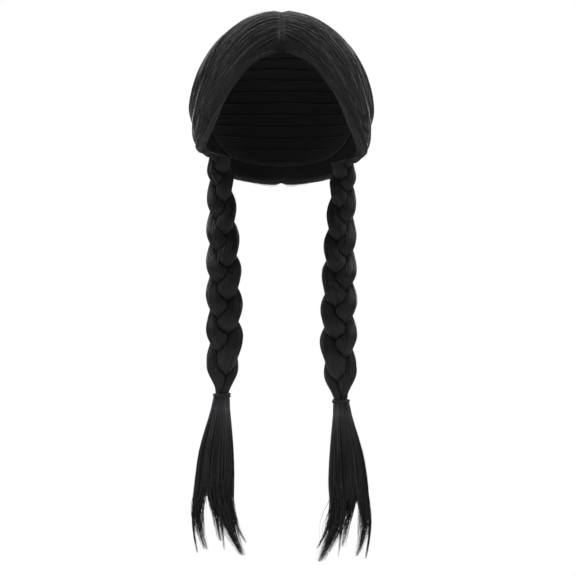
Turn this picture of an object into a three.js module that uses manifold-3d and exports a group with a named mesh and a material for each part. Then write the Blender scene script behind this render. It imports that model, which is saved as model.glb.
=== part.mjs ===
// A centre-parted wig with two braided pigtails: a close cap, four swept sections of hair, two
// three-strand braids, two elastic ties and two loose tails.
// Millimetres, +Z up. The face looks along -Y, so the wearer's left is +X. The origin is where the top
// of the head touches the inside of the cap.
import * as THREE from "three";
import { mergeVertices } from "three/addons/utils/BufferGeometryUtils.js";
import Module from "manifold-3d";

// The head that the wig is made for
const headWidth = 146;
const headLength = 188;
const headRise = 90; // from the widest level up to the top of the head
const headFall = 105; // how far the same curve reaches below the widest level
const headFullness = 2.15; // exponent of the rounding, where 2 is an ellipsoid
const faceNarrowing = 0.14; // the share by which the head is narrower towards the face

// The cap
const capWall = 1.5;
const capInset = 6; // how far the cap's edge stays inside the hair's edge
const hairOverCap = 0.9; // clearance between the cap and the hair on it

// The hair on the cap
const hairOnTop = 8.4;
const hairAtSide = 13.6;
const hairAtFront = 8.6;
const hairAtBack = 11;
const hairFall = 114; // how far the hair's curve reaches below the widest level
const hairFullness = 1.95;
const partDip = 2.2; // depth of the valley along the parting
const frontStep = 3; // how far the front hair lies below the back hair along their border
const edgeRoll = 2.5; // how much thinner the front hair gets at the hairline
const backTuck = 9; // how far the back hair draws in below its bulge
const pieceGap = 0.4;
const borderGap = 0.8; // between the front and back hair

// The bundle below each ear, where the swept hair ends and the braid starts
const bundleInside = 13.4; // from the head's side in to the bundle's middle
const bundleBack = 22; // behind the head's middle
const bundleBelow = 39.5; // below the head's widest level
const bundleHalfWidth = 12;
const bundleHalfDepth = 9.5;
const bundleEdge = 10; // degrees: how thick each half of the bundle is at its corners
const leftSideDrop = 5.8; // the braid on the wearer's left hangs this much lower

// The braids
const braidLength = 225;
const braidHalfWidth = 17.3;
const braidForward = 66; // how far the braid comes forward over the shoulder
const braidTurn = 12; // degrees by which each braid is turned on its own axis
const strandGap = 0.5;

// The ties and the loose tails
const tieNeckHalf = 6.6;
const tieNeckDepth = 5.8;
const tieCord = 1.5; // thickness of the elastic
const tieTurns = 3;
const tailLength = 156;
const tailHalfWidth = 20;

// Meshing
const sheetColumns = 12;
const sheetRows = 14;
const strandRings = 48;
const strandSides = 10;
const capColumns = 24;
const capRows = 7;
const tieSides = 14;
const trunkSides = 10;
const lockSides = 7;
const lockRings = 5;

// The hairline from the parting to behind the ear: across as a share of half the head's width, fore of
// half its length, down of the rise
const FRONT_EDGE = [
  { across: 0, fore: 0.81, down: 0.335 },
  { across: 0.274, fore: 0.81, down: 0.405 },
  { across: 0.447, fore: 0.8, down: 0.51 },
  { across: 0.562, fore: 0.77, down: 0.622 },
  { across: 0.664, fore: 0.71, down: 0.73 },
  { across: 0.753, fore: 0.62, down: 0.85 },
  { across: 0.82, fore: 0.49, down: 1.0 },
  { across: 0.86, fore: 0.33, down: 1.15 },
  { across: 0.9, fore: 0.12, down: 1.29 },
  { across: 0.88, fore: -0.08, down: 1.38 },
];

// The border between front and back hair, from the top of the head down the side to the bundle
const SIDE_BORDER = [
  { across: 0, fore: 0.02, down: -0.1 },
  { across: 0.55, fore: 0.16, down: 0.02 },
  { across: 0.92, fore: 0.25, down: 0.4 },
  { across: 1.09, fore: 0.26, down: 0.74 },
  { across: 1.13, fore: 0.2, down: 1.0 },
  { across: 1.13, fore: 0.07, down: 1.22 },
  { across: 1.08, fore: -0.07, down: 1.36 },
];

// The lower edge at the back, from the parting at the nape to the bundle
const NAPE_EDGE = [
  { across: 0, fore: -0.86, down: 1.66 },
  { across: 0.35, fore: -0.81, down: 1.65 },
  { across: 0.62, fore: -0.67, down: 1.6 },
  { across: 0.78, fore: -0.5, down: 1.53 },
];

// The edge of the cap, which leaves the ears free: the angle round the head from the face to the nape,
// and down as a share of the rise
const CAP_EDGE = [
  { round: 0, down: 0.33 },
  { round: 25, down: 0.46 },
  { round: 48, down: 0.82 },
  { round: 66, down: 1.08 },
  { round: 90, down: 0.98 },
  { round: 115, down: 1.18 },
  { round: 145, down: 1.5 },
  { round: 180, down: 1.6 },
];

// A braid from the bundle to its tie: its half width as a share of the widest, its middle sideways as a
// share of the same, its way forward as a share of the whole, and how many crossings are behind it
const BRAID_ROWS = [
  { down: 0, half: 0.69, inward: 0, forward: 0, crossings: 0 },
  { down: 0.104, half: 0.72, inward: 0.05, forward: 0.07, crossings: 1 },
  { down: 0.239, half: 0.82, inward: 0.13, forward: 0.28, crossings: 2 },
  { down: 0.381, half: 0.92, inward: 0.21, forward: 0.55, crossings: 3 },
  { down: 0.517, half: 0.97, inward: 0.26, forward: 0.8, crossings: 4 },
  { down: 0.662, half: 0.99, inward: 0.29, forward: 0.95, crossings: 5 },
  { down: 0.806, half: 1, inward: 0.29, forward: 1, crossings: 6 },
  { down: 0.9, half: 0.87, inward: 0.23, forward: 1, crossings: 6.5 },
  { down: 1, half: 0.42, inward: 0.16, forward: 1, crossings: 7 },
];
// A strand's swing and weave and its own half sizes, as shares of the braid's half width, and how far
// the first crossing has come at the bundle
const STRAND = { swing: 0.42, weave: 0.3, across: 0.58, deep: 0.48, started: 0.35 };
const STRANDS = 3;

// A tail's trunk: outward and inward from the tie as shares of the half width, deep as a share of it
const TAIL_ROWS = [
  { drop: 0.035, outward: 0.45, inward: 0.36, deep: 0.34 },
  { drop: 0.1, outward: 0.57, inward: 0.4, deep: 0.38 },
  { drop: 0.18, outward: 0.77, inward: 0.46, deep: 0.43 },
  { drop: 0.33, outward: 1.07, inward: 0.54, deep: 0.48 },
  { drop: 0.48, outward: 1.24, inward: 0.58, deep: 0.48 },
  { drop: 0.58, outward: 1.32, inward: 0.58, deep: 0.4 },
  { drop: 0.63, outward: 1.34, inward: 0.56, deep: 0.14 },
];

// The locks that the tail ends in. Each passes three places, given as a share of the tail's length
// down and a share of its half width outwards. Its half width where it leaves the trunk and further
// down, and its place fore and aft, are shares of the same half width.
const LOCKS = [
  { from: [0.45, 1.02], by: [0.78, 1.38], tip: [0.985, 1.16], shoulder: 0.16, half: 0.07, fore: 0 },
  { from: [0.5, 1], by: [0.8, 1.07], tip: [0.965, 0.75], shoulder: 0.36, half: 0.17, fore: 0.05 },
  { from: [0.5, 0.45], by: [0.78, 0.27], tip: [0.91, 0.12], shoulder: 0.34, half: 0.09, fore: -0.08 },
  { from: [0.55, 0.1], by: [0.8, 0], tip: [0.97, -0.13], shoulder: 0.22, half: 0.07, fore: 0.1 },
  { from: [0.45, -0.08], by: [0.79, -0.32], tip: [1, -1.02], shoulder: 0.42, half: 0.36, fore: 0 },
  { from: [0.5, -0.36], by: [0.79, -0.66], tip: [0.92, -1.15], shoulder: 0.16, half: 0.07, fore: 0.08 },
];
const LOCK_TIP = 0.08; // how wide a lock's tip is, as a share of the lock
const LOCK_DEPTH = 0.7; // a lock's depth as a share of its width
const NARROWING = { from: 0.1, to: 0.5 }; // where along a lock its shoulder ends

// Where the hair's features begin and end, as shares of the way from the parting to the bundle or, for
// the front hair's roll and step, of the way back from the hairline
const DIP = { to: 0.14 };
const ROLL = { to: 0.2 };
const STEP = { fromHairline: 0.35, from: 0.1, to: 0.45 };
const TUCK = { from: 0.62, to: 0.86 };
const GATHER = { from: 0.74 };
const LOWERING = { from: 0.5, to: 0.95 };
const BORDER_STEP = 0.05; // how far into a patch its border looks for its own direction

// Where a turn of the tie stands out fully, as shares of its height, and how far it does between turns
const TIE_BULGES = [0.75, 0.25];
const TIE_GROOVE = 0.4;

const HAIR = { color: 0x232324, roughness: 0.5, metalness: 0 };
const TIE = { color: 0x2b2b2d, roughness: 0.75, metalness: 0 };
const NET = { color: 0x1b1b1c, roughness: 0.9, metalness: 0 };

const wasm = await Module();
wasm.setup();

const lerp = THREE.MathUtils.lerp;
const smooth = THREE.MathUtils.smoothstep;
const radians = THREE.MathUtils.degToRad;

// The value of one column of a table at a place along its key column
function tableAt(rows, key, column, place) {
  const next = rows.findIndex((row) => row[key] >= place);
  if (next <= 0) return rows[next === 0 ? 0 : rows.length - 1][column];
  const low = rows[next - 1];
  const high = rows[next];
  return lerp(low[column], high[column], (place - low[key]) / (high[key] - low[key]));
}

// A table's columns as a smooth curve through its rows, read by its key column
function smoothTable(rows, key, column) {
  const curve = new THREE.SplineCurve(rows.map((row) => new THREE.Vector2(row[key], row[column])));
  const along = rows.map((row, i) => ({ place: row[key], t: i / (rows.length - 1) }));
  return (place) => curve.getPoint(tableAt(along, "place", "t", place)).y;
}

// Triangles from a list of faces, with shared points merged
function geometryOf(points, faces) {
  const flat = faces.flat().map((i) => points[i]);
  const geometry = new THREE.BufferGeometry().setFromPoints(flat);
  return mergeVertices(geometry, 1e-4);
}

// Rows of what a function gives for each row and column
function gridOf(rows, columns, cell) {
  return Array.from({ length: rows }, (_, i) => Array.from({ length: columns }, (_, j) => cell(i, j)));
}

function quad(a, b, c, d) {
  return [
    [a, b, c],
    [a, c, d],
  ];
}

// A closed tube through rings of equal length, with a fan over each end
function loft(rings) {
  const sides = rings[0].length;
  const faces = [];
  for (let i = 0; i + 1 < rings.length; i++) {
    for (let j = 0; j < sides; j++) {
      const k = (j + 1) % sides;
      faces.push(...quad(i * sides + j, i * sides + k, (i + 1) * sides + k, (i + 1) * sides + j));
    }
  }
  const last = (rings.length - 1) * sides;
  for (let j = 1; j + 1 < sides; j++) {
    faces.push([0, j + 1, j], [last, last + j, last + j + 1]);
  }
  return outward(geometryOf(rings.flat(), faces));
}

// A wall between an outer and an inner grid of points, closed round its border
function wall(outer, inner) {
  const rows = outer.length;
  const columns = outer[0].length;
  const points = [...outer.flat(), ...inner.flat()];
  const out = (i, j) => i * columns + j;
  const inn = (i, j) => rows * columns + i * columns + j;
  const faces = [];
  for (let i = 0; i + 1 < rows; i++) {
    for (let j = 0; j + 1 < columns; j++) {
      faces.push(...quad(out(i, j), out(i, j + 1), out(i + 1, j + 1), out(i + 1, j)));
      faces.push(...quad(inn(i, j), inn(i + 1, j), inn(i + 1, j + 1), inn(i, j + 1)));
    }
  }
  for (let j = 0; j + 1 < columns; j++) {
    faces.push(...quad(out(0, j), inn(0, j), inn(0, j + 1), out(0, j + 1)));
    faces.push(...quad(out(rows - 1, j), out(rows - 1, j + 1), inn(rows - 1, j + 1), inn(rows - 1, j)));
  }
  for (let i = 0; i + 1 < rows; i++) {
    faces.push(...quad(out(i, 0), out(i + 1, 0), inn(i + 1, 0), inn(i, 0)));
    const j = columns - 1;
    faces.push(...quad(out(i, j), inn(i, j), inn(i + 1, j), out(i + 1, j)));
  }
  return outward(geometryOf(points, faces));
}

// The same geometry with its faces turned to point out, whichever way it was wound
function outward(geometry) {
  const place = geometry.getAttribute("position");
  const index = geometry.index.array;
  const corner = (i) => new THREE.Vector3().fromBufferAttribute(place, index[i]);
  let volume = 0;
  for (let i = 0; i < index.length; i += 3) {
    volume += corner(i).dot(corner(i + 1).cross(corner(i + 2)));
  }
  if (volume < 0) {
    for (let i = 0; i < index.length; i += 3) [index[i + 1], index[i + 2]] = [index[i + 2], index[i + 1]];
  }
  return geometry;
}

function solidOf(geometry) {
  return new wasm.Manifold(
    new wasm.Mesh({
      numProp: 3,
      vertProperties: new Float32Array(geometry.getAttribute("position").array),
      triVerts: new Uint32Array(geometry.index.array),
    }),
  );
}

// Several closed shapes that overlap, joined into one
function fuse(geometries) {
  const joined = geometries.map(solidOf).reduce((a, b) => a.add(b));
  const mesh = joined.getMesh();
  return new THREE.BufferGeometry()
    .setAttribute("position", new THREE.BufferAttribute(mesh.vertProperties, 3))
    .setIndex(new THREE.BufferAttribute(mesh.triVerts, 1));
}

// How much lower than designed one side hangs, where 1 is the wearer's left and -1 the right
function dropOf(side) {
  return side > 0 ? leftSideDrop : 0;
}

// The head and the hair on it, each as a distance from the head's middle in a given direction

const middle = new THREE.Vector3(0, 0, -headRise);
const bundlePlace = new THREE.Vector3(headWidth / 2 - bundleInside, bundleBack, -headRise - bundleBelow);

function roundReach(direction, halfWidth, halfLength, rise, fall, fullness) {
  const towardsFace = smooth(-direction.y, 0, 0.75);
  const width = halfWidth * (1 - faceNarrowing * towardsFace);
  const height = direction.z > 0 ? rise : fall;
  const sum =
    Math.abs(direction.x / width) ** fullness +
    Math.abs(direction.y / halfLength) ** fullness +
    Math.abs(direction.z / height) ** fullness;
  return sum ** (-1 / fullness);
}

function headReach(direction) {
  return roundReach(direction, headWidth / 2, headLength / 2, headRise, headFall, headFullness);
}

function hairReach(direction) {
  const base = capWall + hairOverCap;
  const endHair = direction.y < 0 ? hairAtFront : hairAtBack;
  return roundReach(
    direction,
    headWidth / 2 + base + hairAtSide,
    headLength / 2 + base + endHair,
    headRise + base + hairOnTop,
    hairFall,
    hairFullness,
  );
}

// A point of one of the edge tables
function headPoint(row) {
  return new THREE.Vector3(
    (row.across * headWidth) / 2,
    (-row.fore * headLength) / 2,
    -row.down * headRise,
  );
}

// Directions from the head's middle along an edge table, on to a last point
function edgeCurve(rows, end) {
  const ways = [...rows.map(headPoint), end].map((p) => p.sub(middle).normalize());
  const curve = new THREE.CatmullRomCurve3(ways, false, "centripetal");
  return (t) => curve.getPointAt(t);
}

// The bundle's outline below the ear: share runs from the neck side to the outside, front is -1 for the
// half towards the face and 1 for the other, and depth is 0 on the split and 1 on the outline
function bundlePoint(share, front, depth) {
  const angle = radians(lerp(bundleEdge, 180 - bundleEdge, share));
  return new THREE.Vector3(
    bundlePlace.x - bundleHalfWidth * Math.cos(angle),
    bundlePlace.y + front * (pieceGap / 2 + depth * bundleHalfDepth * Math.sin(angle)),
    bundlePlace.z,
  );
}

// One swept section of hair on the wearer's left, as a wall of outer and inner points. It is a patch
// whose rows go from the parting down to the bundle, stretched between two edges.
function sweptHair({ first, last, parting, bundle, outerReach }) {
  const layer = (depth, reach) => {
    const end = (s) => bundle(s, depth).sub(middle);
    const firstEdge = edgeCurve(first, bundle(0, depth));
    const lastEdge = edgeCurve(last, bundle(1, depth));
    return (s, t) => {
      const way = new THREE.Vector3()
        .addScaledVector(firstEdge(t), 1 - s)
        .addScaledVector(lastEdge(t), s)
        .addScaledVector(parting(s), 1 - t)
        .addScaledVector(end(s).normalize(), t)
        .addScaledVector(firstEdge(0), -(1 - s) * (1 - t))
        .addScaledVector(lastEdge(0), -s * (1 - t))
        .addScaledVector(firstEdge(1), -(1 - s) * t)
        .addScaledVector(lastEdge(1), -s * t)
        .normalize();
      const distance = lerp(reach(way, s, t), end(s).length(), smooth(t, GATHER.from, 1));
      return way.multiplyScalar(distance).add(middle);
    };
  };
  const outer = layer(1, outerReach);
  const inner = layer(0, (way) => headReach(way) + capWall + hairOverCap);
  return { outer, inner };
}

// The grid of a patch, moved off the middle plane and in from the border that it shares with its
// neighbour, which is its first column or its last
function patchGrid(point, borderColumn) {
  const inwards = borderColumn === 0 ? BORDER_STEP : -BORDER_STEP;
  const cell = (i, j) => {
    const t = i / sheetRows;
    const s = j / sheetColumns;
    const place = point(s, t);
    if (j === borderColumn && i < sheetRows) {
      const way = point(s + inwards, t).sub(place).normalize();
      place.addScaledVector(way, borderGap / 2);
    }
    place.x += pieceGap / 2;
    return place;
  };
  return gridOf(sheetRows + 1, sheetColumns + 1, cell);
}

// Directions along the parting, in the middle plane, from one point to another
function partingCurve(from, to) {
  const [start, end] = [from, to].map((p) => Math.atan2(p.y - middle.y, p.z - middle.z));
  return (s) => new THREE.Vector3(0, Math.sin(lerp(start, end, s)), Math.cos(lerp(start, end, s)));
}

function partValley(t) {
  return partDip * (1 - smooth(t, 0, DIP.to));
}

const partingFront = headPoint(FRONT_EDGE[0]);
const partingTop = headPoint(SIDE_BORDER[0]);
const partingNape = headPoint(NAPE_EDGE[0]);

const frontHair = sweptHair({
  first: FRONT_EDGE,
  last: SIDE_BORDER,
  parting: partingCurve(partingFront, partingTop),
  bundle: (s, depth) => bundlePoint(s, -1, depth),
  outerReach: (way, s, t) => {
    const step = frontStep * smooth(s, STEP.fromHairline, 1) * smooth(t, STEP.from, STEP.to);
    const roll = edgeRoll * (1 - smooth(s, 0, ROLL.to));
    return hairReach(way) - partValley(t) - step - roll;
  },
});

const backHair = sweptHair({
  first: SIDE_BORDER,
  last: NAPE_EDGE,
  parting: partingCurve(partingTop, partingNape),
  bundle: (s, depth) => bundlePoint(1 - s, 1, depth),
  outerReach: (way, s, t) => {
    return hairReach(way) - partValley(t) - backTuck * smooth(t, TUCK.from, TUCK.to);
  },
});

// A grid for one side of the head: mirrored for the wearer's right, and lowered towards the bundle for
// the wearer's left
function placeGrid(grid, side) {
  return gridOf(sheetRows + 1, sheetColumns + 1, (i, j) => {
    const low = dropOf(side) * smooth(i / sheetRows, LOWERING.from, LOWERING.to);
    return grid[i][j].multiply(new THREE.Vector3(side, 1, 1)).setZ(grid[i][j].z - low);
  });
}

function sweptHairGeometry(hair, borderColumn, side) {
  const outer = placeGrid(patchGrid(hair.outer, borderColumn), side);
  const inner = placeGrid(patchGrid(hair.inner, borderColumn), side);
  return wall(outer, inner);
}

// The tilt from straight up at which the head, seen from its middle, has come down to a given height
function tiltAt(round, height) {
  let [high, low] = [0, Math.PI];
  for (let halving = 0; halving < 20; halving++) {
    const tilt = (high + low) / 2;
    const way = wayOf(round, tilt);
    [high, low] = headReach(way) * way.z > height ? [tilt, low] : [high, tilt];
  }
  return high;
}

// A direction given by its angle round the head from the face and its tilt from straight up
function wayOf(round, tilt) {
  const turn = radians(round);
  return new THREE.Vector3(Math.sin(turn) * Math.sin(tilt), -Math.cos(turn) * Math.sin(tilt), Math.cos(tilt));
}

// The cap: a thin dome over the head, open below, with an edge that goes round the ears
function capGeometry() {
  const edge = smoothTable(CAP_EDGE, "round", "down");
  const layer = (extra) => {
    const rings = gridOf(capRows, capColumns, (i, j) => {
      const round = (360 * j) / capColumns;
      const edgeTilt = tiltAt(round, headRise * (1 - edge(Math.min(round, 360 - round))));
      const tilt = ((edgeTilt - capInset / headRise) * (i + 1)) / capRows;
      const way = wayOf(round, tilt);
      return way.multiplyScalar(headReach(way) + extra).add(middle);
    });
    return { top: new THREE.Vector3(0, 0, extra), rings };
  };
  return dome(layer(capWall), layer(0));
}

// A dome with a wall between an outer and an inner layer of rings that close over the top
function dome(outer, inner) {
  const points = [outer.top, inner.top, ...outer.rings.flat(), ...inner.rings.flat()];
  const count = outer.rings.length;
  const sides = outer.rings[0].length;
  const out = (i, j) => 2 + i * sides + (j % sides);
  const inn = (i, j) => 2 + count * sides + i * sides + (j % sides);
  const faces = [];
  for (let j = 0; j < sides; j++) {
    faces.push([0, out(0, j), out(0, j + 1)], [1, inn(0, j + 1), inn(0, j)]);
    for (let i = 0; i + 1 < count; i++) {
      faces.push(...quad(out(i, j), out(i + 1, j), out(i + 1, j + 1), out(i, j + 1)));
      faces.push(...quad(inn(i, j), inn(i, j + 1), inn(i + 1, j + 1), inn(i + 1, j)));
    }
    faces.push(...quad(out(count - 1, j), inn(count - 1, j), inn(count - 1, j + 1), out(count - 1, j + 1)));
  }
  return outward(geometryOf(points, faces));
}

// The braids: each strand swings from side to side and weaves from front to back, and its section is
// an oval cut off half-way to its two neighbours

const rowAt = Object.fromEntries(
  ["half", "inward", "forward", "crossings"].map((name) => [name, smoothTable(BRAID_ROWS, "down", name)]),
);

function strandCentre(strand, down) {
  const half = rowAt.half(down) * braidHalfWidth;
  const phase = (2 * Math.PI * (rowAt.crossings(down) - STRAND.started + strand)) / STRANDS;
  return new THREE.Vector2(
    STRAND.swing * half * Math.cos(phase),
    -STRAND.weave * half * Math.sin(2 * phase),
  );
}

// One ring of a strand. The rings of two neighbours stay on their own sides of the lines half a step
// above and below, so that the straight faces between two rings can't cross.
function strandSection(strand, down) {
  const half = rowAt.half(down) * braidHalfWidth;
  const here = strandCentre(strand, down);
  const limits = [];
  for (const level of [down - 0.5 / strandRings, down + 0.5 / strandRings]) {
    const own = strandCentre(strand, level);
    for (let k = 1; k < STRANDS; k++) {
      const other = strandCentre((strand + k) % STRANDS, level);
      const facing = other.clone().sub(own).normalize();
      const border = own.clone().lerp(other, 0.5).addScaledVector(facing, -strandGap / 2);
      limits.push({ facing, room: border.sub(here).dot(facing) });
    }
  }
  const section = [];
  for (let j = 0; j < strandSides; j++) {
    const angle = (2 * Math.PI * j) / strandSides;
    const ray = new THREE.Vector2(Math.cos(angle), Math.sin(angle));
    let reach = 1 / Math.hypot(ray.x / (STRAND.across * half), ray.y / (STRAND.deep * half));
    for (const { facing, room } of limits) {
      const towards = facing.dot(ray);
      if (towards > 0) reach = Math.min(reach, room / towards);
    }
    section.push(here.clone().addScaledVector(ray, reach));
  }
  return section;
}

// The middle of the braid on one side at a share of its length
function braidMiddle(down, side) {
  return new THREE.Vector3(
    side * (bundlePlace.x - rowAt.inward(down) * braidHalfWidth),
    bundlePlace.y - rowAt.forward(down) * braidForward,
    bundlePlace.z - dropOf(side) - pieceGap - down * braidLength,
  );
}

function strandGeometry(strand, side) {
  const rings = Array.from({ length: strandRings + 1 }, (_, i) => {
    const down = i / strandRings;
    const centre = braidMiddle(down, side);
    return strandSection(strand, down).map((p) => {
      p.rotateAround(new THREE.Vector2(), radians(braidTurn));
      return new THREE.Vector3(side * p.x, p.y, 0).add(centre);
    });
  });
  return loft(rings);
}

// The ties and tails have a frame of their own, with its origin on the braid's end and +X outwards

// Turns of elastic side by side, as one ring whose section bulges at each turn
function tieGeometry() {
  const inside = tieNeckHalf + pieceGap;
  const groove = inside + tieCord * TIE_GROOVE;
  const bottom = -tieTurns * tieCord;
  const profile = [new THREE.Vector2(inside, bottom), new THREE.Vector2(groove, bottom)];
  for (let turn = tieTurns - 1; turn >= 0; turn--) {
    for (const share of TIE_BULGES) {
      profile.push(new THREE.Vector2(inside + tieCord, -(turn + share) * tieCord));
    }
    profile.push(new THREE.Vector2(groove, -turn * tieCord));
  }
  profile.push(new THREE.Vector2(inside, 0), profile[0]);
  const geometry = new THREE.LatheGeometry(profile, tieSides);
  geometry.deleteAttribute("normal");
  geometry.deleteAttribute("uv");
  const depthShare = (tieNeckDepth + pieceGap) / (tieNeckHalf + pieceGap);
  return outward(mergeVertices(geometry, 1e-4).rotateX(Math.PI / 2).scale(1, depthShare, 1));
}

function oval(centre, halfWidth, halfDepth, sides) {
  return Array.from({ length: sides }, (_, j) => {
    const angle = (2 * Math.PI * (j + 0.5)) / sides;
    return new THREE.Vector3(halfWidth * Math.cos(angle), halfDepth * Math.sin(angle), 0).add(centre);
  });
}

function tailTrunk() {
  const tieBelow = tieTurns * tieCord + pieceGap;
  const rings = [
    oval(new THREE.Vector3(0, 0, -pieceGap), tieNeckHalf, tieNeckDepth, trunkSides),
    oval(new THREE.Vector3(0, 0, -tieBelow), tieNeckHalf, tieNeckDepth, trunkSides),
  ];
  for (const row of TAIL_ROWS) {
    const offset = ((row.outward - row.inward) / 2) * tailHalfWidth;
    const centre = new THREE.Vector3(offset, 0, -tieBelow - row.drop * tailLength);
    const half = ((row.outward + row.inward) / 2) * tailHalfWidth;
    rings.push(oval(centre, half, row.deep * tailHalfWidth, trunkSides));
  }
  return loft(rings);
}

function lockGeometry(lock) {
  const at = ([drop, outwards]) =>
    new THREE.Vector3(outwards * tailHalfWidth, lock.fore * tailHalfWidth, -drop * tailLength);
  const curve = new THREE.CatmullRomCurve3([at(lock.from), at(lock.by), at(lock.tip)]);
  const rings = [];
  for (let i = 0; i <= lockRings; i++) {
    const t = i / lockRings;
    const width = lerp(lock.shoulder, lock.half, smooth(t, NARROWING.from, NARROWING.to));
    const half = width * tailHalfWidth * lerp(LOCK_TIP, 1, Math.sqrt(1 - t ** 3));
    rings.push(oval(curve.getPoint(t), half, half * LOCK_DEPTH, lockSides));
  }
  return loft(rings);
}

const wig = new THREE.Group();

function addMesh(name, geometry, look, parent = wig) {
  const mesh = new THREE.Mesh(geometry, new THREE.MeshStandardMaterial(look));
  mesh.name = name;
  parent.add(mesh);
  return mesh;
}

addMesh("wig_cap", capGeometry(), NET);

for (const [word, side] of [
  ["left", 1],
  ["right", -1],
]) {
  addMesh(`front_hair_${word}`, sweptHairGeometry(frontHair, sheetColumns, side), HAIR);
  addMesh(`back_hair_${word}`, sweptHairGeometry(backHair, 0, side), HAIR);
  for (let strand = 0; strand < STRANDS; strand++) {
    addMesh(`braid_${word}_strand_${strand + 1}`, strandGeometry(strand, side), HAIR);
  }
  const end = new THREE.Group();
  end.position.copy(braidMiddle(1, side));
  wig.add(end);
  const tail = fuse([tailTrunk(), ...LOCKS.map(lockGeometry)]);
  if (side < 0) {
    tail.scale(-1, 1, 1);
    outward(tail);
  }
  addMesh(`tail_${word}`, tail, HAIR, end);
  const tie = addMesh(`hair_tie_${word}`, tieGeometry(), TIE, end);
  tie.position.z = -pieceGap;
}

export default wig;
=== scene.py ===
# %% [markdown]
# # A wig with two braided pigtails
# The wig is close to black: synthetic fibre on a stretch cap, parted in the middle, swept back past the
# temples into two plaits that are tied near their ends. Hair is never one surface. What the eye reads is
# thousands of thin ridges that all run the same way, so each piece here is a closed body for the mass of
# the hair, with fibres laid along it as real meshes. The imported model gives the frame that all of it
# stands in, and every piece takes the place of one of its solids.

# %% The frame, and the tools used throughout
import bpy
import mathutils
import numpy as np
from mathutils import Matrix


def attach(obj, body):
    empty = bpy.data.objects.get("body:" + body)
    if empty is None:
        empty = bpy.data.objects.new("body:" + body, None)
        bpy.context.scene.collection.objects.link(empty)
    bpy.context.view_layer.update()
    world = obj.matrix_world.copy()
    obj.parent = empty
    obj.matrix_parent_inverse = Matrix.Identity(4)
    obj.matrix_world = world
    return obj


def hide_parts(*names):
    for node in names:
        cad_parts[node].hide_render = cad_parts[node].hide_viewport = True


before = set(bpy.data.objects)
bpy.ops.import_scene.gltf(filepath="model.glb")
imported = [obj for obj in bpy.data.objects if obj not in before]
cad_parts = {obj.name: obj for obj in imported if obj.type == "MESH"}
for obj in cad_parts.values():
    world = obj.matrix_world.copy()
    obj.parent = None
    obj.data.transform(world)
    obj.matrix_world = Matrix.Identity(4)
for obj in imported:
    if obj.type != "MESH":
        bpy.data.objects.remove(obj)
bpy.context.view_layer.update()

MM = 0.001  # all shapes are worked out in millimetres and turned to metres when a mesh is made

# %% [markdown]
# ## The view
# The photograph looks straight at the wig from the front, from far enough away that near and far parts
# keep one scale. A long lens from eight metres does the same. Its width at the wig comes from the scale
# of the photograph, in real millimetres for each pixel.

# %% The camera
PHOTO_PIXELS = 576
PIXEL_SIZE = 0.96  # millimetres at the wig for each pixel
PARTING_COLUMN = 281.5  # the pixel column of the middle plane
ORIGIN_ROW = 22  # the pixel row of the top of the cap's hollow
CAMERA_DISTANCE = 8.0
CAMERA_REACH = 60.0  # nothing further away than this is drawn
SENSOR_WIDTH = 36.0

seen_width = PHOTO_PIXELS * PIXEL_SIZE * MM
look_x = (PHOTO_PIXELS / 2 - PARTING_COLUMN) * PIXEL_SIZE * MM
look_z = (ORIGIN_ROW - PHOTO_PIXELS / 2) * PIXEL_SIZE * MM

lens = bpy.data.cameras.new("camera")
lens.sensor_width = SENSOR_WIDTH
lens.lens = SENSOR_WIDTH * CAMERA_DISTANCE / seen_width
lens.clip_end = CAMERA_REACH
camera = bpy.data.objects.new("camera", lens)
camera.location = (look_x, -CAMERA_DISTANCE, look_z)
camera.rotation_euler = (np.pi / 2, 0, 0)
bpy.context.collection.objects.link(camera)
bpy.context.scene.camera = camera
print("the lens is", round(lens.lens), "mm long")

# %% [markdown]
# ## Colour and nodes
# A colour is written as it would be read off a swatch, and one function turns it into the linear values
# that the shader works in. One more function adds a shader node. The steps that come back in several
# materials have a function each, so that a material reads as a list of its steps.

# %% Helpers for materials
def linear(swatch):
    """Linear colour of a hex swatch: each channel c is c / 12.92 below 0.04045, and otherwise
    ((c + 0.055) / 1.055) to the power 2.4."""
    channels = np.array([int(swatch[i : i + 2], 16) for i in (1, 3, 5)]) / 255
    low = channels / 12.92
    high = ((channels + 0.055) / 1.055) ** 2.4
    return (*np.where(channels <= 0.04045, low, high), 1.0)


def add(tree, kind, values=(), **settings):
    """Adds a node. Settings are its own properties, and values are its sockets, each given a number, a
    colour or the socket of another node."""
    made = tree.nodes.new(kind)
    for name, value in settings.items():
        setattr(made, name, value)
    for name, value in dict(values).items():
        if isinstance(value, bpy.types.NodeSocket):
            tree.links.new(value, made.inputs[name])
        else:
            made.inputs[name].default_value = value
    return made


def new_material(name):
    """An empty material, its node tree, and the socket that gives the mesh's combed attribute."""
    made = bpy.data.materials.new(name)
    made.use_nodes = True
    made.node_tree.nodes.clear()
    combed = add(made.node_tree, "ShaderNodeAttribute", attribute_name="combed")
    return made, made.node_tree, combed.outputs["Vector"]


def worked_out(tree, operation, *values):
    """The result of one sum on numbers or sockets."""
    return add(tree, "ShaderNodeMath", dict(enumerate(values)), operation=operation).outputs[0]


def moved(tree, value, source, target):
    """A value carried from one range to another, and held at its ends."""
    ends = {"From Min": source[0], "From Max": source[1], "To Min": target[0], "To Max": target[1]}
    return add(tree, "ShaderNodeMapRange", {"Value": value, **ends}).outputs[0]


def coloured(tree, value, *stops):
    """A colour that runs through swatches, each reached at its own value."""
    made = add(tree, "ShaderNodeValToRGB", {"Fac": value})
    elements = made.color_ramp.elements
    for k, (place, swatch) in enumerate(stops):
        element = elements[k] if k < 2 else elements.new(place)
        element.position = place
        element.color = linear(swatch)
    return made.outputs[0]


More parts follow.
